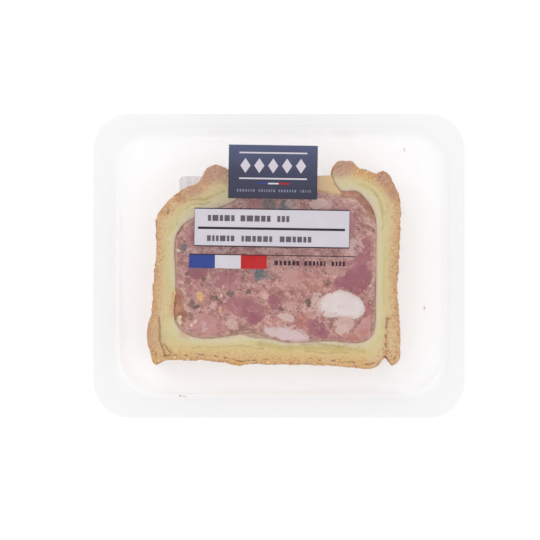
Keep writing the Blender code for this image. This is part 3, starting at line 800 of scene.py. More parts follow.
# Long patches, as for the pastry
FILLING_BANDS = {
    # The brown bands along the pastry's right wall and along the foot are painted shadow in the gap between
    # filling and pastry
    "brown": [
        (0.4, 1.2, [(37.4, -6.8), (37.4, -10.8), (37.2, -14.4)]),
        (0.3, 0.9, [(36.6, -22.0), (36.4, -25.0)]), (0.5, 0.9, [(34.6, -3.4), (35.6, -5.6)]),
        (0.6, 1.0, [(-18.6, -25.2), (-13.6, -25.0), (-9.4, -25.8)]),
        (0.5, 0.9, [(19.4, -20.4), (21.0, -22.0), (20.6, -24.0)]),
    ],
    # Both dark bands lie at the pastry's right wall and are painted shadow in the gap there
    "dark": [(0.22, 1.0, [(37.4, -7.4), (37.4, -13.6)]), (0.3, 1.2, [(37.1, 14.2), (37.0, 12.8)])],
    "lilac": [(1.1, 0.62, [(-36.0, 5.9), (-17.0, 5.9)])],
    "pale": [(1.1, 0.7, [(-9.0, 6.0), (4.0, 6.0)])],
}
PATCH_TONES = {
    "pale": (0.75, 208, 175, 166), "mauve": (0.8, 148, 80, 94), "red": (0.55, 182, 110, 94),
    "brown": (0.75, 136, 92, 82), "dark": (0.8, 96, 74, 70), "slate": (0.75, 98, 104, 106),
    "cream": (0.85, 226, 206, 178), "lilac": (0.75, 211, 186, 189),
}


def keep_patches(made, reach=1.0):
    """Stores how far each point lies in each wavy patch; reach holds back all but the pale kinds."""
    places = points_of(made)
    wavy = places + drift(places, 1.6 * MM, 4.0) * 0.9 * MM + drift(places, 0.8 * MM, 12.0) * 0.4 * MM
    for patch in FILLING_PATCHES:
        share = patch_share(wavy, patch, FILLING_PATCHES, FILLING_BANDS)
        keep(made, **{patch: share * (1.0 if patch in ("pale", "lilac") else reach)})


def close_gap(places, outward):
    """Moves a solid's side out into its neighbour, and sinks its upper rim out of sight."""
    flat = np.hypot(outward[:, 0], outward[:, 1])
    places[:, :2] += outward[:, :2] * CLOSE_GAP
    places[:, 2] -= RIM_DROP * flat * (outward[:, 2] > 0.2)


filling = upper_outline("forcemeat")
slab = fine("forcemeat_slab", prism(filling, SLICE_FLOOR, SLICE_TOP), FILLING_GRAIN, 1)
places = points_of(slab)
outward = normals_of(slab)
keep_patches(slab)
from_wall = distance_to(places, edges_of(filling))
keep(slab, from_wall=from_wall / MM)
lift = 0.16 * cloud(places, 2.6 * MM, 5.0) * MM
close_gap(places, outward)
places[:, 2] += lift * np.sign(outward[:, 2]) * (np.abs(outward[:, 2]) > 0.6)
set_points(slab, places)
print("forcemeat points:", len(places))

# %% The forcemeat's finish


def mince_colour(paint):
    """A mosaic of scraps of lean, fat and stock at three sizes, with dark seams between the largest."""
    sway = paint.noise(2.0, 3.0, out="Color")
    swayed = paint.vectors("MULTIPLY_ADD", sway, (3.6, 3.6, 3.6), paint.place)
    scraps = paint.part(paint.cells(4.4, out="Color", where=swayed), "X")
    bits = paint.part(paint.cells(1.7, out="Color", where=swayed), "Y")
    grit = paint.part(paint.cells(0.75, out="Color", where=swayed), "Z")
    colour = paint.ramp(scraps + (bits - 0.5) * 0.3, [
        (0.0, 160, 98, 104), (0.28, 174, 118, 116), (0.5, 186, 137, 125),
        (0.72, 168, 112, 110), (0.86, 204, 163, 152), (1.0, 190, 142, 128)])
    bits_colour = paint.ramp(bits, [
        (0.0, 142, 88, 88), (0.2, 172, 116, 111), (0.55, 186, 137, 127),
        (0.8, 208, 171, 160), (1.0, 168, 114, 108)])
    grit_colour = paint.ramp(grit, [
        (0.0, 104, 70, 66), (0.14, 166, 116, 110), (0.6, 188, 144, 134),
        (0.88, 224, 198, 184), (1.0, 230, 208, 196)])
    colour = paint.blend(0.38, colour, bits_colour)
    colour = paint.blend(0.12, colour, grit_colour)
    veil = paint.noise(5.5, 2.0)
    colour = paint.coat(colour, veil.between(0.5, 0.66), 0.4, 202, 152, 148)
    colour = paint.coat(colour, veil.between(0.5, 0.34), 0.4, 158, 98, 98)
    bent = paint.vectors("MULTIPLY_ADD", sway, (5.0, 5.0, 5.0), paint.place)
    strands = paint.streaks((0.24, 0.85, 0.5), 2.0, 0.5, bent)
    colour = paint.coat(colour, strands.between(0.53, 0.63), 0.62, 216, 175, 160)
    colour = paint.coat(colour, strands.between(0.47, 0.37), 0.6, 142, 82, 80)
    crossed = paint.streaks((1.0, 0.3, 0.5), 2.0, 0.2, bent)
    colour = paint.coat(colour, crossed.between(0.56, 0.68), 0.45, 192, 132, 106)
    colour = paint.coat(colour, crossed.between(0.44, 0.34), 0.4, 150, 90, 96)
    seams = paint.cells(4.4, where=swayed, feature="DISTANCE_TO_EDGE").between(0.09, 0.02)
    seams = seams * paint.noise(3.0, 2.0).between(0.42, 0.6)
    return paint.coat(colour, seams, 0.35, 134, 84, 80)


def patched(paint, colour):
    """A cut face's colour with its patches, whose edges a fine mottle breaks up."""
    mottle = paint.noise(0.9, 3.0)
    for patch, look in PATCH_TONES.items():
        colour = paint.coat(colour, (paint.attribute(patch) + mottle - 0.5).between(0.4, 0.76), *look)
    return colour


def forcemeat_finish():
    """Mince with its patches, dark spice and a pale rim where it meets the pastry, partly painted light over
    the shade of the sunk rim.
    """
    paint = Paint("forcemeat_mince", Subsurface_Weight=0.12, Subsurface_Scale=1.2 * MM)
    colour = patched(paint, mince_colour(paint))
    spice = paint.cells(1.6).between(0.24, 0.12) * paint.noise(4.0, 1.0).between(0.48, 0.6)
    colour = paint.coat(colour, spice, 0.45, 96, 70, 66)
    # Painted light: a rim lightened towards the dough's tone, which softens the step to the pastry and lifts
    # the shade in the sunk rim
    pale_rim_painted_light = (paint.attribute("from_wall") + (paint.noise(1.2, 2.0) - 0.5) * 1.4).between(0.9, 0.0)
    colour = paint.coat(colour, pale_rim_painted_light, 0.6, 200, 168, 146)
    relief = paint.bump(paint.noise(1.1, 3.0) + paint.noise(0.5, 2.0) * 0.3, 0.25)
    shine = paint.noise(1.6, 2.0).between(0.35, 0.7) * 0.25 + 0.34
    return paint.feed(Base_Color=colour, Roughness=shine, Normal=relief)


attach(slab, "forcemeat", forcemeat_finish(), "forcemeat")
print("forcemeat finished")

# %% [markdown]
# ## Chunks in the filling
# Ham, poultry, morels and nuts were cut through with the rest, so each chunk runs down from
# the cut face and meets the mince edge to edge. Each starts from its own solid, whose plain
# outline is pulled about by noise. Muscle has a grain, so every ham chunk also keeps places
# turned to its own direction, along which its fibres are drawn out.

# %% A chunk's solid
CHUNK_RISE = 0.14 * MM
CHUNK_GRAINS = {"ham": 0.42 * MM, "poultry": 0.42 * MM, "morel": 0.3 * MM, "nut": 0.25 * MM}
CHUNK_WANDER = {"ham": 0.8, "poultry": 0.45, "morel": 1.0, "nut": 0.5}

# How deep a ham chunk's colour is, how white a poultry one or how blue a morel, and its grain's turn
CHUNK_LOOKS = {
    "ham_large": (0.72, -40.0), "ham_right": (0.85, 62.0), "ham_upper_right": (0.5, 80.0),
    "ham_upper_left": (0.4, 20.0), "ham_under_bar": (0.85, 75.0), "ham_middle_left": (0.5, 85.0),
    "ham_bottom_left": (0.22, 10.0), "ham_middle": (0.62, 25.0), "ham_centre_right": (0.15, 15.0),
    "ham_bottom_right": (0.85, -35.0), "ham_corner": (0.1, 60.0), "ham_centre": (0.5, 0.0),
    "ham_top": (0.45, 15.0), "poultry_large": (0.85, 0.0), "poultry_bottom": (0.4, 0.0),
    "poultry_small": (0.12, 0.0), "poultry_pale": (0.25, 0.0), "poultry_upper": (0.2, 0.0),
    "morel_middle": (0.9, 0.0), "morel_upper": (1.0, 0.0), "morel_left": (0.5, 0.0),
    "morel_low_left": (0.0, 0.0), "morel_row": (0.2, 0.0), "morel_right": (0.0, 0.0),
}
# Where a chunk bellies out: a middle, a reach and a push in mm
BULGES = {
    "poultry_large": [
        (25.6, -10.0, 7.0, (0.2, 1.4)), (31.5, -18.0, 4.5, (0.8, -0.4)), (18.8, -18.4, 3.6, (-0.4, -1.2))],
    "poultry_bottom": [(8.5, -27.5, 6.0, (1.6, -0.9)), (-1.0, -28.0, 5.0, (-0.5, -0.8))],
}
chunk_kinds = {entry["node"]: entry["material_slot"] for entry in frame["record"]["subparts"]}


def make_chunk(name, kind):
    """A chunk with an uneven outline and soft edges, standing just proud of the mince."""
    chunk = fine(name + "_cut", merged_mesh(name), CHUNK_GRAINS[kind], 3)
    places = points_of(chunk)
    middle = places.mean(axis=0)
    from_edge = distance_to(places, edges_of(upper_outline(name)))
    pull = drift(places, 2.4 * MM, 6.0) * 0.8 + drift(places, 1.0 * MM, 7.0) * 0.35
    places[:, :2] += pull[:, :2] * CHUNK_WANDER[kind] * MM
    for x, y, reach, push in BULGES.get(name, []):
        near = spots_at(places, [(x, y, reach, 1.0)], 0.9)
        places[:, :2] += near[:, None] * np.array(push) * MM
    upper = soft_step(places[:, 2], middle[2], SLICE_TOP)
    dome = 0.1 * cloud(places, 2.2 * MM, 8.0) * MM
    places[:, 2] += upper * (CHUNK_RISE + dome)
    places[:, 2] -= (1.0 - upper) * 0.1 * MM
    set_points(chunk, places)
    depth, turn = CHUNK_LOOKS.get(name, (0.5, 0.0))
    turned = np.array(Matrix.Rotation(math.radians(-turn), 3, "Z"))
    keep_vector(chunk, "grain", (places / MM) @ turned.T)
    keep(chunk, from_edge=from_edge / MM, tint=np.full(len(places), depth))
    keep_patches(chunk, soft_step(-from_edge, -1.2 * MM, -0.3 * MM) if kind == "poultry" else 1.0)
    return chunk


def among_mince(paint, colour, width=0.8, size=1.5, sway=1.8):
    """A chunk's colour, with the mince's mosaic breaking into its edge."""
    ragged = paint.attribute("from_edge") + (paint.noise(size, 3.0) - 0.5) * sway
    return patched(paint, paint.blend(ragged.between(0.0, width), mince_colour(paint), colour))


def ham_finish():
    """Cured meat in bundles of fibres along its own grain, with pale veins."""
    paint = Paint("cooked_ham", Subsurface_Weight=0.15, Subsurface_Scale=1.2 * MM)
    grain = paint.attribute("grain", out="Vector")
    fibres = paint.streaks((0.3, 1.9, 0.5), 3.0, where=grain)
    bundles = paint.streaks((0.14, 0.45, 0.3), 2.0, where=grain)
    tint = paint.attribute("tint") + (paint.noise(4.5, 2.0) - 0.5) * 0.6 + (bundles - 0.5) * 0.5
    colour = paint.ramp(tint, [
        (0.0, 197, 146, 139), (0.3, 183, 126, 123), (0.6, 166, 105, 109),
        (0.82, 156, 92, 100), (1.0, 142, 75, 86)])
    colour = paint.coat(colour, fibres.between(0.5, 0.72), 0.22, 204, 160, 154)
    colour = paint.coat(colour, fibres.between(0.46, 0.3), 0.25, 138, 80, 88)
    veins = (bundles - 0.52).distance().between(0.03, 0.008) * paint.noise(3.0, 2.0).between(0.45, 0.62)
    colour = paint.coat(colour, veins, 0.5, 206, 168, 160)
    fleck = paint.noise(0.6, 2.0)
    colour = paint.coat(colour, fleck.between(0.6, 0.74), 0.35, 204, 162, 156)
    colour = among_mince(paint, colour)
    relief = paint.bump(fibres + fleck * 0.4, 0.2)
    shine = paint.noise(2.0, 2.0).between(0.3, 0.7) * 0.22 + 0.32
    return paint.feed(Base_Color=colour, Roughness=shine, Normal=relief)


def poultry_finish():
    """Smooth white meat, warmer at its rim."""
    paint = Paint("white_poultry", Subsurface_Weight=0.2, Subsurface_Scale=2.0 * MM)
    soft = paint.noise(3.5, 3.0)
    tint = paint.attribute("tint") + (soft - 0.5) * 0.5
    colour = paint.ramp(tint, [
        (0.1, 198, 160, 151), (0.5, 210, 184, 179), (0.85, 219, 205, 202),
        (1.0, 224, 212, 209)])
    fibres = paint.streaks((0.35, 1.2, 0.5), 2.0, 0.4)
    colour = paint.coat(colour, fibres.between(0.55, 0.75), 0.3, 200, 172, 168)
    rim = (paint.attribute("from_edge") + (soft - 0.5) * 3.0).between(2.2, 0.6)
    colour = paint.coat(colour, rim, 0.5, 206, 176, 168)
    colour = among_mince(paint, colour)
    relief = paint.bump(fibres + soft, 0.15)
    shine = fibres * 0.2 + 0.3
    return paint.feed(Base_Color=colour, Roughness=shine, Normal=relief)


def morel_finish():
    """Pitted dark flesh, from brown to slate by its tint."""
    paint = Paint("dark_morel", Subsurface_Weight=0.1, Subsurface_Scale=1.0 * MM)
    pits = paint.cells(1.0, feature="SMOOTH_F1")
    mottle = paint.noise(1.2, 3.0)
    depth = pits * 0.8 + mottle * 0.6
    slate = paint.ramp(depth, [
        (0.35, 76, 78, 86), (0.6, 106, 108, 115), (0.85, 142, 140, 142), (1.0, 172, 162, 158)])
    brown = paint.ramp(depth, [
        (0.35, 88, 62, 58), (0.6, 122, 92, 86), (0.85, 150, 116, 106), (1.0, 178, 138, 126)])
    colour = paint.blend(paint.attribute("tint"), brown, slate)
    colour = among_mince(paint, colour, 0.7, 1.2, 2.6)
    relief = paint.bump(pits, 0.4)
    return paint.feed(Base_Color=colour, Roughness=mottle * 0.3 + 0.3, Normal=relief)


def nut_finish():
    """Roast nut with a soft brown rim."""
    paint = Paint("roast_nut", Roughness=0.5, Subsurface_Weight=0.12, Subsurface_Scale=1.0 * MM)
    mottle = paint.noise(1.1, 3.0)
    colour = paint.ramp(mottle, [
        (0.32, 178, 128, 88), (0.46, 204, 156, 104), (0.6, 214, 174, 124), (0.72, 220, 190, 154)])
    rim = (paint.attribute("from_edge") + (mottle - 0.5) * 1.6).between(0.0, 0.5)
    colour = paint.blend(rim, tone(196, 150, 130), colour)
    return paint.feed(Base_Color=colour, Normal=paint.bump(mottle, 0.3))


chunk_finishes = {
    "ham": ham_finish(), "poultry": poultry_finish(), "morel": morel_finish(), "nut": nut_finish()}
for name, kind in chunk_kinds.items():
    if kind in chunk_finishes:
        attach(make_chunk(name, kind), kind, chunk_finishes[kind], name)
print("chunks:", sum(kind in chunk_finishes for kind in chunk_kinds.values()))

# %% [markdown]
# ## Jelly
# Stock was poured in through the chimney between the pastry's lips and set as jelly. It is
# smooth, glossy and amber, darkest where it is deep against the pastry, and pale where it
# lies thin under the lips.

# %% Jelly in the chimney and against the pastry
JELLY_GRAIN = 0.45 * MM
# How much of the mince shows through a piece, where it isn't the usual share
JELLY_THIN = {"jelly_top": 0.5}
PALE_JELLY = [(2.0, 34.5, 17.0, 1.0), (15.0, 33.6, 7.6, 1.0), (20.6, 28.6, 3.6, 0.9)]


def make_jelly(name):
    """A smooth body of jelly that closes up to its neighbours."""
    jelly = fine(name + "_set", merged_mesh(name), JELLY_GRAIN, 2)
    places = points_of(jelly)
    outward = normals_of(jelly)
    keep_patches(jelly)
    from_mince = distance_to(places, edges_of(filling)) / MM
    thin = np.full(len(places), JELLY_THIN.get(name, 0.12))
    keep(jelly, thin_amber=spots_at(places, PALE_JELLY), from_mince=from_mince, thin=thin)
    close_gap(places, outward)
    places[:, 2] += 0.08 * cloud(places, 3.0 * MM, 9.0) * MM
    set_points(jelly, places)
    return jelly


def jelly_finish():
    """Glossy amber, pale where it is thin, with the mince showing through its edge."""
    paint = Paint(
        "amber_jelly", Roughness=0.12, Subsurface_Weight=0.35, Subsurface_Scale=3.0 * MM,
        Coat_Weight=0.3, Coat_Roughness=0.05)
    clouds = paint.noise(3.5, 3.0)
    colour = paint.ramp(clouds, [
        (0.3, 146, 88, 64), (0.5, 170, 114, 86), (0.75, 194, 146, 114)])
    pale = paint.attribute("thin_amber") + (clouds - 0.5) * 0.5
    colour = paint.blend(pale.between(0.2, 0.9), colour, tone(214, 182, 132))
    over_mince = (paint.attribute("from_mince") + (clouds - 0.5) * 2.4).between(2.0, 0.2)
    colour = paint.blend(over_mince * paint.attribute("thin"), colour, mince_colour(paint))
    return paint.feed(Base_Color=patched(paint, colour), Normal=paint.bump(clouds, 0.2))


jelly_paint = jelly_finish()
jelly_nodes = [name for name, kind in chunk_kinds.items() if kind == "jelly"]
for name in jelly_nodes:
    attach(make_jelly(name), "jelly", jelly_paint, name)
print("jelly pieces:", len(jelly_nodes))

# %% [markdown]
# ## Bits, flakes and crumbs
# Peppery specks stand out of the mince, flakes lift off the baked skin, and a few crumbs have
# fallen beside the slice. All are small lumps spread over a surface, so one Geometry Nodes tree
# makes them: points are thrown on the faces where a mask allows, each gets a lump that lies
# with the surface, and its size, squash, spin and tone are random from a seed.

# %% A Geometry Nodes tree for scattered bits


class Tree(Graph):
    """A Geometry Nodes tree with named inputs."""

    def __init__(self, name, **sockets):
        super().__init__(bpy.data.node_groups.new(name, "GeometryNodeTree"))
        sockets = {"Geometry": "Geometry", **sockets}
        for socket, kind in sockets.items():
            self.tree.interface.new_socket(socket, in_out="INPUT", socket_type="NodeSocket" + kind)
        self.tree.interface.new_socket("Geometry", in_out="OUTPUT", socket_type="NodeSocketGeometry")
        source = self.tree.nodes.new("NodeGroupInput")
        self.given = {socket: Wire(self, source.outputs[socket]) for socket in sockets}

    def chance(self, low, high, seed):
        """A random number for each point, between two limits."""
        settings = {"data_type": "FLOAT"}
        return self.add("FunctionNodeRandomValue", settings, None, None, low, high, out=1, Seed=seed)

    def end(self, geometry, material):
        """Realizes the instances, sets the material and ends the tree."""
        real = self.add("GeometryNodeRealizeInstances", {}, Geometry=geometry)
        done = self.add("GeometryNodeSetMaterial", {}, Geometry=real, Material=material)
        self.join(done, self.tree.nodes.new("NodeGroupOutput").inputs[0])

    def grow(self, name, base, **values):
        """The mesh that the tree makes from a base mesh with these input values."""
        made = put(name, base)
        modifier = made.modifiers.new("tree", "NODES")
        modifier.node_group = self.tree
        for item in self.tree.interface.items_tree:
            if item.in_out == "INPUT" and item.name in values:
                modifier[item.identifier] = values[item.name]
        mesh = evaluated_mesh(made)
        bpy.data.objects.remove(made)
        return mesh


def bits_tree():
    """Small lumps thrown on the faces of a mesh, as densely as its scatter attribute allows."""
    tree = Tree(
        "scattered_bits", Density="Float", Smallest="Float", Largest="Float", Flatness="Float",
        Seed="Int", Material="Material")
    given = tree.given
    seed = given["Seed"]
    mask = tree.add("GeometryNodeInputNamedAttribute", {"data_type": "FLOAT"}, Name="scatter")
    spread = tree.add(
        "GeometryNodeDistributePointsOnFaces", {}, Mesh=given["Geometry"], Density=given["Density"] * mask,
        Seed=seed)
    size = tree.chance(given["Smallest"], given["Largest"], seed)
    width = size * tree.chance(0.5, 1.0, seed + 1)
    scale = tree.add("ShaderNodeCombineXYZ", {}, size, width, size * given["Flatness"])
    spin = tree.add("ShaderNodeCombineXYZ", {}, Z=tree.chance(0.0, math.tau, seed + 2))
    turned = tree.add(
        "FunctionNodeRotateRotation", {"rotation_space": "LOCAL"}, Rotation=spread.output("Rotation"),
        Rotate_By=tree.add("FunctionNodeEulerToRotation", {}, Euler=spin))
    lump = tree.add("GeometryNodeMeshIcoSphere", {}, Radius=0.5, Subdivisions=1)
    lumps = tree.add(
        "GeometryNodeInstanceOnPoints", {}, Points=spread.output("Points"), Instance=lump, Rotation=turned,
        Scale=scale)
    toned = tree.add(
        "GeometryNodeStoreNamedAttribute", {"data_type": "FLOAT", "domain": "INSTANCE"}, Geometry=lumps,
        Name="bit", Value=tree.chance(0.0, 1.0, seed + 3))
    tree.end(toned, given["Material"])
    return tree


scattered_bits = bits_tree()
print("bits tree nodes:", len(scattered_bits.tree.nodes))

# %% Specks in the mince
# Specks keep this far from the wall
SPECK_MARGIN = 1.2 * MM


def bit_finish(name, stops, roughness):
    """A finish whose tone runs through its stops from bit to bit, with a mottle on each."""
    paint = Paint(name, Roughness=roughness)
    mottle = paint.noise(0.5, 2.0)
    colour = paint.ramp(paint.attribute("bit") + (mottle - 0.5) * 0.3, stops)
    return paint.feed(Base_Color=colour, Normal=paint.bump(mottle, 0.1))


def bits_on(name, base, slot_name, paint, **values):
    """Scattered bits as a piece of their own, on a copy of a base mesh."""
    mesh = scattered_bits.grow(name, base.data.copy(), Material=paint, **values)
    return attach(put(name, mesh), slot_name, paint)


def inside(places, outline):
    """Whether each place is within an outline, by counting the edges to its right."""
    within = np.zeros(len(places), dtype=bool)
    for start, end in edges_of(outline):
        rises = (start.y > places[:, 1]) != (end.y > places[:, 1])
        if rises.any():
            crossing = start.x + (places[:, 1] - start.y) * (end.x - start.x) / (end.y - start.y or 1.0)
            within ^= rises & (places[:, 0] < crossing)
    return within


places = points_of(slab)
upright = soft_step(np.abs(normals_of(slab)[:, 2]), 0.7, 0.95)
in_chunk = np.zeros(len(places), dtype=bool)
for name, kind in chunk_kinds.items():
    if kind in chunk_finishes:
        in_chunk |= inside(places, upper_outline(name))
keep(slab, scatter=upright * (from_wall > SPECK_MARGIN) * ~in_chunk)
speck_paint = bit_finish("mince_speck", [
    (0.0, 104, 74, 68), (0.22, 144, 94, 88), (0.4, 174, 118, 112),
    (0.75, 190, 140, 132), (1.0, 214, 180, 170)], 0.4)
specks = bits_on(
    "mince_specks", slab, "forcemeat", speck_paint, Density=0.3e6, Smallest=0.35 * MM, Largest=1.1 * MM,
    Flatness=0.35, Seed=3)
print("speck triangles:", len(specks.data.polygons))

# %% Flakes on the baked skin
flake_paint = bit_finish("pastry_flake", [
    (0.0, 176, 122, 80), (0.35, 204, 156, 112), (0.7, 218, 180, 136),
    (1.0, 234, 208, 168)], 0.85)
flakes = bits_on(
    "crust_flakes", pastry, "crust", flake_paint, Density=0.55e6, Smallest=0.4 * MM, Largest=1.3 * MM,
    Flatness=0.4, Seed=5)
print("flake triangles:", len(flakes.data.polygons))

# %% [markdown]
# ## The tray
# The tray is one sheet of clear plastic, heated and drawn into a mould, so its wall is thin and
# every corner of its section is a soft bend. The section is a path of named insets and heights
# with rounded corners. Rings of the pack's outline are set along both of its sides and joined,
# which gives a closed wall that the light passes twice.

# %% The tray's section
FLANGE_HALF = Vector(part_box("tray")[1].xy)
FLANGE_CORNER = 14.0 * MM
WELL_HALF = Vector((65.3, 53.4)) * MM
WELL_CENTRE = Vector((1.0, 1.2)) * MM
WELL_CORNER = 17.5 * MM
CORNER_TAPER = 0.4
SHEET = 0.45 * MM
FLANGE_SPAN = 7.0 * MM
RING_POINTS = 14

# Inset from the well's rim, height and bend radius along the section, in mm, from the floor out
TRAY_PATH = [
    (13.0, 1.5, 0.0), (12.3, 1.5, 0.8), (10.8, 0.35, 0.8), (7.8, 0.35, 3.6), (2.0, 20.7, 0.5),
    (0.25, 20.8, 0.5), (0.2, 23.7, 0.5), (-6.95, 23.7, 0.0),
]
BEND_STEPS = 5


def rounded_rectangle(half, radius, centre):
    """An anticlockwise outline with round corners."""
    outline = []
    for corner, (sign_x, sign_y) in enumerate(((1, 1), (-1, 1), (-1, -1), (1, -1))):
        middle = centre + Vector((sign_x * (half.x - radius), sign_y * (half.y - radius)))
        for step in range(RING_POINTS + 1):
            angle = (corner + step / RING_POINTS) * math.pi / 2
            outline.append(middle + radius * Vector((math.cos(angle), math.sin(angle))))
    return outline


def pack_ring(inset, height):
    """The pack's outline at an inset from the well's rim, which is negative on the flange."""
    if inset >= 0.0:
        half = WELL_HALF - Vector((inset, inset))
        outline = rounded_rectangle(half, WELL_CORNER - inset * CORNER_TAPER, WELL_CENTRE)
    else:
        share = min(-inset / FLANGE_SPAN, 1.0)
        half = WELL_HALF.lerp(FLANGE_HALF, share)
        corner = WELL_CORNER + (FLANGE_CORNER - WELL_CORNER) * share
        outline = rounded_rectangle(half, corner, WELL_CENTRE * (1.0 - share))
    return [(point.x, point.y, height) for point in outline]


def bent(path):
    """A path with each corner rounded to its radius."""
    made = [Vector(path[0][:2])]
    for before, here, after in zip(path, path[1:], path[2:]):
        corner = Vector(here[:2])
        back, on = (Vector(before[:2]) - corner), (Vector(after[:2]) - corner)
        reach = min(here[2], back.length * 0.45, on.length * 0.45)
        start, end = corner + back.normalized() * reach, corner + on.normalized() * reach
        for step in range(BEND_STEPS + 1):
            share = step / BEND_STEPS
            made.append(start.lerp(corner, share).lerp(corner.lerp(end, share), share))
    return made + [Vector(path[-1][:2])]


def beside(path, away):
    """A path moved sideways by a distance."""
    moved = []
    for i, point in enumerate(path):
        along = path[min(i + 1, len(path) - 1)] - path[max(i - 1, 0)]
        moved.append(point + Vector((along.y, -along.x)).normalized() * away)
    return moved


def skin(name, rings, smooth_angle, welded):
    """A closed mesh over rings of equal count, the first and last filled in, with a weld value a ring."""
    count = len(rings[0])
    work = bmesh.new()
    rows = [[work.verts.new(point) for point in ring] for ring in rings]
    for low, high in zip(rows, rows[1:]):
        for i in range(count):
            work.faces.new((low[i], low[(i + 1) % count], high[(i + 1) % count], high[i]))
    work.faces.new(rows[0][::-1])
    work.faces.new(rows[-1])
    bmesh.ops.recalc_face_normals(work, faces=work.faces)
    mesh = as_mesh(work, name)
    mesh.shade_smooth()
    mesh.set_sharp_from_angle(angle=math.radians(smooth_angle))
    made = put(name, mesh)
    keep(made, welded=np.repeat(welded, count))
    return made


section = [point * MM for point in bent(TRAY_PATH)]
upper_side = [pack_ring(*point) for point in beside(section, SHEET / 2)]
lower_side = [pack_ring(*point) for point in beside(section, -SHEET / 2)]
welded = list(soft_step(np.array([-point.x for point in section]), -3.5 * MM, -1.5 * MM))
tray = skin("tray_sheet", upper_side + lower_side[::-1], 50, welded + welded[::-1])
print("tray rings:", len(upper_side) + len(lower_side))

# %% [markdown]
# ## Clear plastic
# Clear plastic is nearly all Transparent shader. What shows of it is its gloss, which grows
# where the sheet is seen edge on, so the part that reflects is mixed in by a Layer Weight.
# That draws the rim, the ledge and the corners as fine grey lines and leaves flat sheet clear.
# The flange is a little cloudy, where heat welded the film to it.

# %% Clear plastic's finish
CLEAR_TINT = (0.994, 0.994, 0.995, 1.0)
WELD_HAZE = 0.05
EDGE_SHARPNESS = 7.0


def clear_finish(name, haze, edge, roughness, ripple_size=None, ripple_depth=0.0):
    """A clear sheet: how milky it is face on, and how far its edges show."""
    paint = Paint(name, Roughness=roughness, Metallic=1.0, Base_Color=tone(205, 205, 212))
    ripples = paint.bump(paint.noise(ripple_size, 2.0), ripple_depth) if ripple_size else None
    paint.feed(Normal=ripples)
    facing = paint.add("ShaderNodeLayerWeight", {}, out="Facing", Blend=0.5, Normal=ripples)
    opacity = facing.power(EDGE_SHARPNESS) * edge + paint.attribute("welded") * WELD_HAZE + haze
    return paint.see_through(opacity, CLEAR_TINT)


tray_paint = clear_finish("tray_plastic", 0.018, 0.5, 0.12, 9.0, 0.25)
attach(tray, "clear_plastic", tray_paint, "tray")
print("tray finished")

# %% [markdown]
# A few crumbs lie loose in the tray, two in its groove and a smear of them on its ledge. The
# base mesh for the tree is a set of tiny level squares, one at each crumb's place, at the
# height that the tray's section has there.

# %% Loose crumbs
CRUMB_PLACES = [(49.6, 46.0), (57.4, -16.9), (-37.4, -50.7), (-36.6, -50.9), (-38.2, -50.8)]
CRUMB_PAD = 0.5 * MM


def tray_top(place):
    """The height of the tray's upper side at a place away from its corners."""
    away = place - WELL_CENTRE
    inset = min(WELL_HALF.x - abs(away.x), WELL_HALF.y - abs(away.y)) / MM
    insets, heights, _ = zip(*TRAY_PATH[::-1])
    return np.interp(inset, insets, heights) * MM + SHEET / 2


def crumb_pads():
    """Small level squares at the crumbs' places, all open to scattering."""
    corners, faces = [], []
    for x, y in CRUMB_PLACES:
        first = len(corners)
        height = tray_top(Vector((x, y)) * MM)
        corners += [
            (x * MM + a * CRUMB_PAD, y * MM + b * CRUMB_PAD, height)
            for a, b in SQUARE]
        faces.append(range(first, first + 4))
    mesh = bpy.data.meshes.new("crumb_pads")
    mesh.from_pydata(corners, [], [tuple(face) for face in faces])
    pads = put("crumb_pads", mesh)
    keep(pads, scatter=np.ones(len(corners)))
    return pads


crumb_paint = bit_finish("pastry_crumb", [(0.0, 206, 168, 118), (1.0, 234, 208, 160)], 0.85)
pads = crumb_pads()
crumbs = bits_on(
    "loose_crumbs", pads, "crust", crumb_paint, Density=1.6e6, Smallest=0.4 * MM, Largest=1.0 * MM,
    Flatness=0.6, Seed=2)
bpy.data.objects.remove(pads)
print("crumb triangles:", len(crumbs.data.polygons))

# %% [markdown]
# ## The lid film
# The film is welded flat to the flange and hangs slack over the well, with shallow ripples
# from the welding. It is drawn as a closed sheet of rings, whose height follows noise inside
# the rim and is level on the flange.

# %% The film's sheet
FILM_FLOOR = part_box("lid_film")[0].z
FILM_THICKNESS = 0.2 * MM
FILM_STEPS = 36
RIPPLE = 0.28 * MM
RIPPLE_SIZE = 15.0 * MM
RIPPLE_STRETCH = 2.4
FILM_MARGIN = 0.3 * MM
FILM_CORNER = 0.5 * MM
# How far in from its edge the film is still welded, and from where it hangs quite slack
WELD_INNER = 7.0 * MM
WELD_FADE = 3.0 * MM
SLACK_INNER = 16.0 * MM
FILM_SPAN = FLANGE_HALF.y - 1.0 * MM


def film_ring(share, lift):
    """The film's outline drawn in towards its middle line, with its ripples."""
    inset = FILM_SPAN * share
    half = FLANGE_HALF - Vector((inset, inset)) - Vector((FILM_MARGIN, FILM_MARGIN))
    corner = max(FLANGE_CORNER * (1.0 - share), FILM_CORNER)
    slack = soft_step(inset, WELD_INNER, SLACK_INNER)
    ring = []
    for point in rounded_rectangle(half, corner, Vector((0.0, 0.0))):
        place = Vector((point.x, point.y * RIPPLE_STRETCH, 0.0)) / RIPPLE_SIZE
        ripple = noise.fractal(place, 0.9, 2.0, 3) * RIPPLE * slack
        ring.append((point.x, point.y, FILM_FLOOR + ripple + lift))
    return ring


shares = [step / FILM_STEPS for step in range(FILM_STEPS + 1)]
film_under = [film_ring(share, 0.0) for share in shares]
film_over = [film_ring(share, FILM_THICKNESS) for share in shares]
film_welded = [1.0 - soft_step(share * FILM_SPAN, WELD_INNER, WELD_INNER + WELD_FADE) for share in shares]
film = skin("lid_sheet", film_under[::-1] + film_over, 60, film_welded[::-1] + film_welded)
film_paint = clear_finish("lid_plastic", 0.014, 0.4, 0.08)
attach(film, "film", film_paint, "lid_film")
print("film points:", len(film.data.vertices))

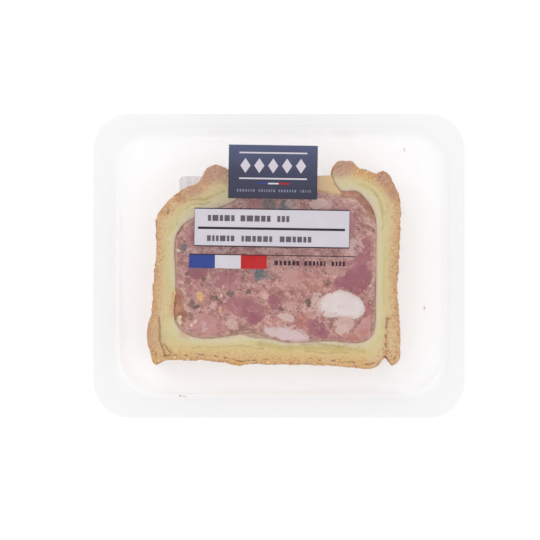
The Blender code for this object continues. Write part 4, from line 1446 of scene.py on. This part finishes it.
# %% [markdown]
# ## The label
# The label is clear film too, a little milky, and its ink is opaque. Everything printed on
# it is a field of colour or a plain shape: a dark panel with a row of lozenges, a white plate
# with a rule, three colour bars, and bars of grey where words would stand.

# %% The clear label and its turn
LABEL_TURN = Matrix.Rotation(math.radians(-0.9), 3, "Z")
LABEL_CENTRE = Vector((-3.0, 22.9, 0.0)) * MM
LABEL_HALF = (33.4, 25.6)
LABEL_CORNER = 2.0
LABEL_FLOOR = FILM_FLOOR + FILM_THICKNESS + RIPPLE + 0.05 * MM
LABEL_THICKNESS = 0.12 * MM
INK = 0.06 * MM
INK_GAP = 0.02 * MM
SHARP_CORNER = 0.02


def on_label(mesh, floor):
    """Turns flat work drawn in the pack's plane with the label, and sets it at a height."""
    for point in mesh.vertices:
        place = Vector((point.co.x, point.co.y, 0.0))
        place = LABEL_TURN @ (place - LABEL_CENTRE) + LABEL_CENTRE
        point.co = (place.x, place.y, point.co.z + floor)
    return mesh


def flat_bar(centre, half, thickness, corner=SHARP_CORNER):
    """A flat plate of a size in mm, as a mesh at height 0."""
    outline = rounded_rectangle(Vector(half) * MM, corner * MM, Vector(centre) * MM)
    return prism(outline, 0.0, thickness)


label_shape = flat_bar(LABEL_CENTRE.xy / MM, LABEL_HALF, LABEL_THICKNESS, LABEL_CORNER)
label_sheet = put("label_sheet", on_label(label_shape, LABEL_FLOOR))
label_paint = Paint("label_plastic", Roughness=0.35, Base_Color=tone(244, 240, 250))
attach(label_sheet, "film", label_paint.see_through(0.012, WHITE), "clear_label")
print("label height, mm:", round(LABEL_FLOOR / MM, 2))

# %% Fields of ink
INK_MOTTLE = 6.0
INK_FLOOR = LABEL_FLOOR + LABEL_THICKNESS + INK_GAP
LINE_FLOOR = INK_FLOOR + INK + INK_GAP
FIELDS = {
    "name_panel": ((-2.55, 36.5), (17.3, 10.45)), "title_panel": ((-2.6, 14.7), (30.1, 7.3)),
    "bar_blue": ((-29.6, 1.35), (5.03, 2.6)), "bar_white": ((-19.55, 1.35), (5.03, 2.6)),
    "bar_red": ((-9.5, 1.35), (5.03, 2.6)),
}


def ink(name, colour, other):
    """Satin ink whose tone drifts a little between two colours."""
    paint = Paint(name, Roughness=0.4, Specular_IOR_Level=0.2)
    colour = paint.blend(paint.noise(INK_MOTTLE, 3.0).between(0.3, 0.7), colour, other)
    return paint.feed(Base_Color=colour, Normal=paint.bump(paint.noise(0.4, 1.0), 0.01))


# Where the dark ink's painted sheen starts and how far up it goes, in mm
PANEL_FOOT = 26.0
PANEL_RISE = 21.0


def navy_ink():
    """Dark ink, lighter towards the label's upper edge: a painted reflection of the film's gloss."""
    paint = Paint("navy_ink", Roughness=0.35)
    # Painted reflection: the ink is lighter the higher it lies on the label
    wavering = (paint.noise(8.0, 2.0) - 0.5) * 6.0
    height = (paint.part(paint.place, "Y") + wavering - PANEL_FOOT) / PANEL_RISE
    colour = paint.ramp(height, [
        (0.0, 41, 39, 63), (0.5, 51, 53, 81), (1.0, 73, 81, 115)])
    return paint.feed(Base_Color=colour)


white_paint = ink("white_ink", tone(207, 201, 208), tone(202, 197, 206))
field_paints = {
    "name_panel": ("navy_print", navy_ink()),
    "title_panel": ("white_print", white_paint),
    "bar_blue": ("blue_print", ink("blue_ink", tone(49, 68, 137), tone(54, 73, 140))),
    "bar_white": ("white_print", white_paint),
    "bar_red": ("red_print", ink("red_ink", tone(178, 33, 35), tone(185, 40, 42))),
}
# The three colours come again as a thin dash on the dark panel, each with its middle
DASHES = {"bar_blue": (-6.5, 32.0), "bar_white": (-2.35, 32.0), "bar_red": (1.8, 32.0)}
DASH_HALF = (2.05, 0.3)


def joined(name, meshes):
    """One object from several flat meshes."""
    work = bmesh.new()
    for mesh in meshes:
        work.from_mesh(mesh)
    return put(name, as_mesh(work, name))


for name, (centre, half) in FIELDS.items():
    shapes = [on_label(flat_bar(centre, half, INK), INK_FLOOR)]
    if name in DASHES:
        shapes.append(on_label(flat_bar(DASHES[name], DASH_HALF, INK), LINE_FLOOR))
    attach(joined(name + "_ink", shapes), *field_paints[name], name)
print("ink fields:", len(FIELDS))

# %% Rules and edge lines
LINES = [
    ((-2.6, 22.0), (30.1, 0.2)), ((-2.6, 7.4), (30.1, 0.22)), ((-2.8, 14.4), (28.6, 0.45)),
    ((-2.4, 4.1), (32.2, 0.17)), ((27.55, 14.7), (0.07, 7.3)), ((-32.75, 14.7), (0.05, 7.3)),
]
rules = joined("label_rules", [on_label(flat_bar(centre, half, INK), LINE_FLOOR) for centre, half in LINES])
attach(rules, "navy_print", ink("black_ink", tone(40, 34, 44), tone(52, 46, 56)))
print("rules:", len(LINES))

# %% [markdown]
# Words are left out. Their places hold rows of small plain blocks that are as dense as small
# type, and a Geometry Nodes tree makes each row: a line of points, a random width for each,
# and a running sum of the widths that sets them side by side. Every so many blocks one is
# dropped, which leaves the gaps between words. The same tree serves every row, because length,
# height, count and seed are its inputs.

# %% A Geometry Nodes tree for rows of blocks
# How wide the blocks are beside one another, from the narrowest to the widest
BLOCK_WIDTHS = (1.0, 2.6)


def word_row_tree():
    """Blocks of random width side by side from the origin along X, with gaps after each word."""
    tree = Tree(
        "word_row", Length="Float", Height="Float", Gap="Float", Count="Int", Word="Int", Seed="Int",
        Thickness="Float", Ink="Material")
    given = tree.given
    points = tree.add("GeometryNodeMeshLine", {}, Count=given["Count"])
    width = tree.chance(*BLOCK_WIDTHS, given["Seed"])
    running = tree.add("GeometryNodeAccumulateField", {"data_type": "FLOAT"}, width)
    scale = (given["Length"] - given["Gap"] * given["Count"]) / running.output("Total")
    index = tree.add("GeometryNodeInputIndex", {})
    real_width = width * scale
    middle = running.output("Trailing") * scale + index * given["Gap"] + real_width * 0.5
    place = tree.add("ShaderNodeCombineXYZ", {}, middle)
    placed = tree.add("GeometryNodeSetPosition", {}, Geometry=points, Position=place)
    size = tree.add("ShaderNodeCombineXYZ", {}, real_width, given["Height"], given["Thickness"])
    bars = tree.add(
        "GeometryNodeInstanceOnPoints", {}, Points=placed, Selection=index % given["Word"] > 0.5,
        Instance=tree.add("GeometryNodeMeshCube", {}), Scale=size)
    tree.end(bars, given["Ink"])
    return tree


word_rows = word_row_tree()
print("word row tree nodes:", len(word_rows.tree.nodes))

# %% Rows of blocks where words would stand
# Each row's left end, middle height, length, block height, block count, blocks a word and seed
WORD_ROWS = {
    "plate_words": ("grey_ink", tone(92, 84, 94), [
        (-30.2, 18.3, 34.8, 2.3, 16, 6, 4), (-30.2, 10.4, 46.0, 2.2, 22, 7, 7)]),
    "bar_words": ("brown_ink", tone(66, 40, 50), [(-3.0, 1.2, 29.6, 1.8, 19, 7, 5)]),
    "panel_words": ("pale_ink", tone(128, 130, 154), [(-17.6, 29.2, 30.4, 1.0, 30, 8, 3)]),
}
BLOCK_GAP = 0.55
INK_DRIFT = 1.15
for name, (ink_name, colour, rows) in WORD_ROWS.items():
    paint = ink(ink_name, colour, (*(channel * INK_DRIFT for channel in colour[:3]), 1.0))
    meshes = []
    for left, height, length, size, count, word, seed in rows:
        mesh = word_rows.grow(
            name, bpy.data.meshes.new(name), Length=length * MM, Height=size * MM, Gap=BLOCK_GAP * MM,
            Count=count, Word=word, Seed=seed, Thickness=INK, Ink=paint)
        mesh.transform(Matrix.Translation(Vector((left, height, 0.0)) * MM))
        meshes.append(on_label(mesh, LINE_FLOOR + INK / 2))
    attach(joined(name, meshes), "navy_print", paint)
print("word pieces:", len(WORD_ROWS))

# %% A row of lozenges on the dark panel
LOZENGE_COUNT = 5
LOZENGE_PITCH = 5.4
LOZENGE_HALF = Vector((2.0, 2.9))
PANEL_MIDDLE = Vector((-2.5, 38.9))
PANEL_RULE = (13.2, 0.3)
PANEL_RULE_AWAY = 5.0


def lozenge(middle):
    """A plain four-sided shape, as a flat mesh."""
    corners = [(1, 0), (0, 1), (-1, 0), (0, -1)]
    outline = [(middle + Vector((x, y)) * LOZENGE_HALF) * MM for x, y in corners]
    return prism(outline, 0.0, INK)


ornament = []
for step in range(LOZENGE_COUNT):
    aside = Vector(((step - (LOZENGE_COUNT - 1) / 2) * LOZENGE_PITCH, 0.0))
    ornament.append(on_label(lozenge(PANEL_MIDDLE + aside), LINE_FLOOR))
for side in (-1, 1):
    middle = PANEL_MIDDLE + Vector((0.0, side * PANEL_RULE_AWAY))
    ornament.append(on_label(flat_bar(middle, PANEL_RULE, INK), LINE_FLOOR))
attach(joined("panel_ornament", ornament), "white_print", white_paint)
print("ornament shapes:", len(ornament))

# %% [markdown]
# ## The back sticker
# A paper sticker is under the tray's floor. A corner of it shows grey through the plastic
# above the slice. Its print is on the outer side, as plain bars and blocks.

# %% The back sticker's finish
# How far the sticker shows through the tray
STICKER_SHOWN = 0.32


def sticker_finish():
    """Paper with a printed quarter of stripes and a printed side of rows, inside a plain margin."""
    paint = Paint("sticker_paper", Roughness=0.65)
    across = paint.part(paint.place, "X")
    up = paint.part(paint.place, "Y")
    stripe = paint.streaks((1.6, 0.0, 0.0), 0.0).between(0.47, 0.53)
    row = paint.streaks((0.0, 0.9, 0.0), 0.0).between(0.47, 0.53)
    stripes_here = across.between(-8.0, -8.2) * up.between(12.0, 12.2)
    rows_here = across.between(-4.0, -3.8)
    margin = (across + 1.5).distance().between(37.6, 37.2) * (up - 11.0).distance().between(25.2, 24.8)
    printed = (stripe * stripes_here + row * rows_here * 0.6) * margin
    fibres = paint.noise(0.8, 3.0)
    colour = paint.blend(fibres, tone(244, 239, 237), tone(252, 249, 248))
    colour = paint.coat(colour, printed, 0.4, 120, 118, 132)
    paint.feed(Base_Color=colour, Normal=paint.bump(fibres, 0.02))
    return paint.see_through(STICKER_SHOWN, WHITE)


sticker = frame["nodes"]["back_label"]
sticker.data.materials.clear()
sticker.data.materials.append(sticker_finish())
print("sticker finished")
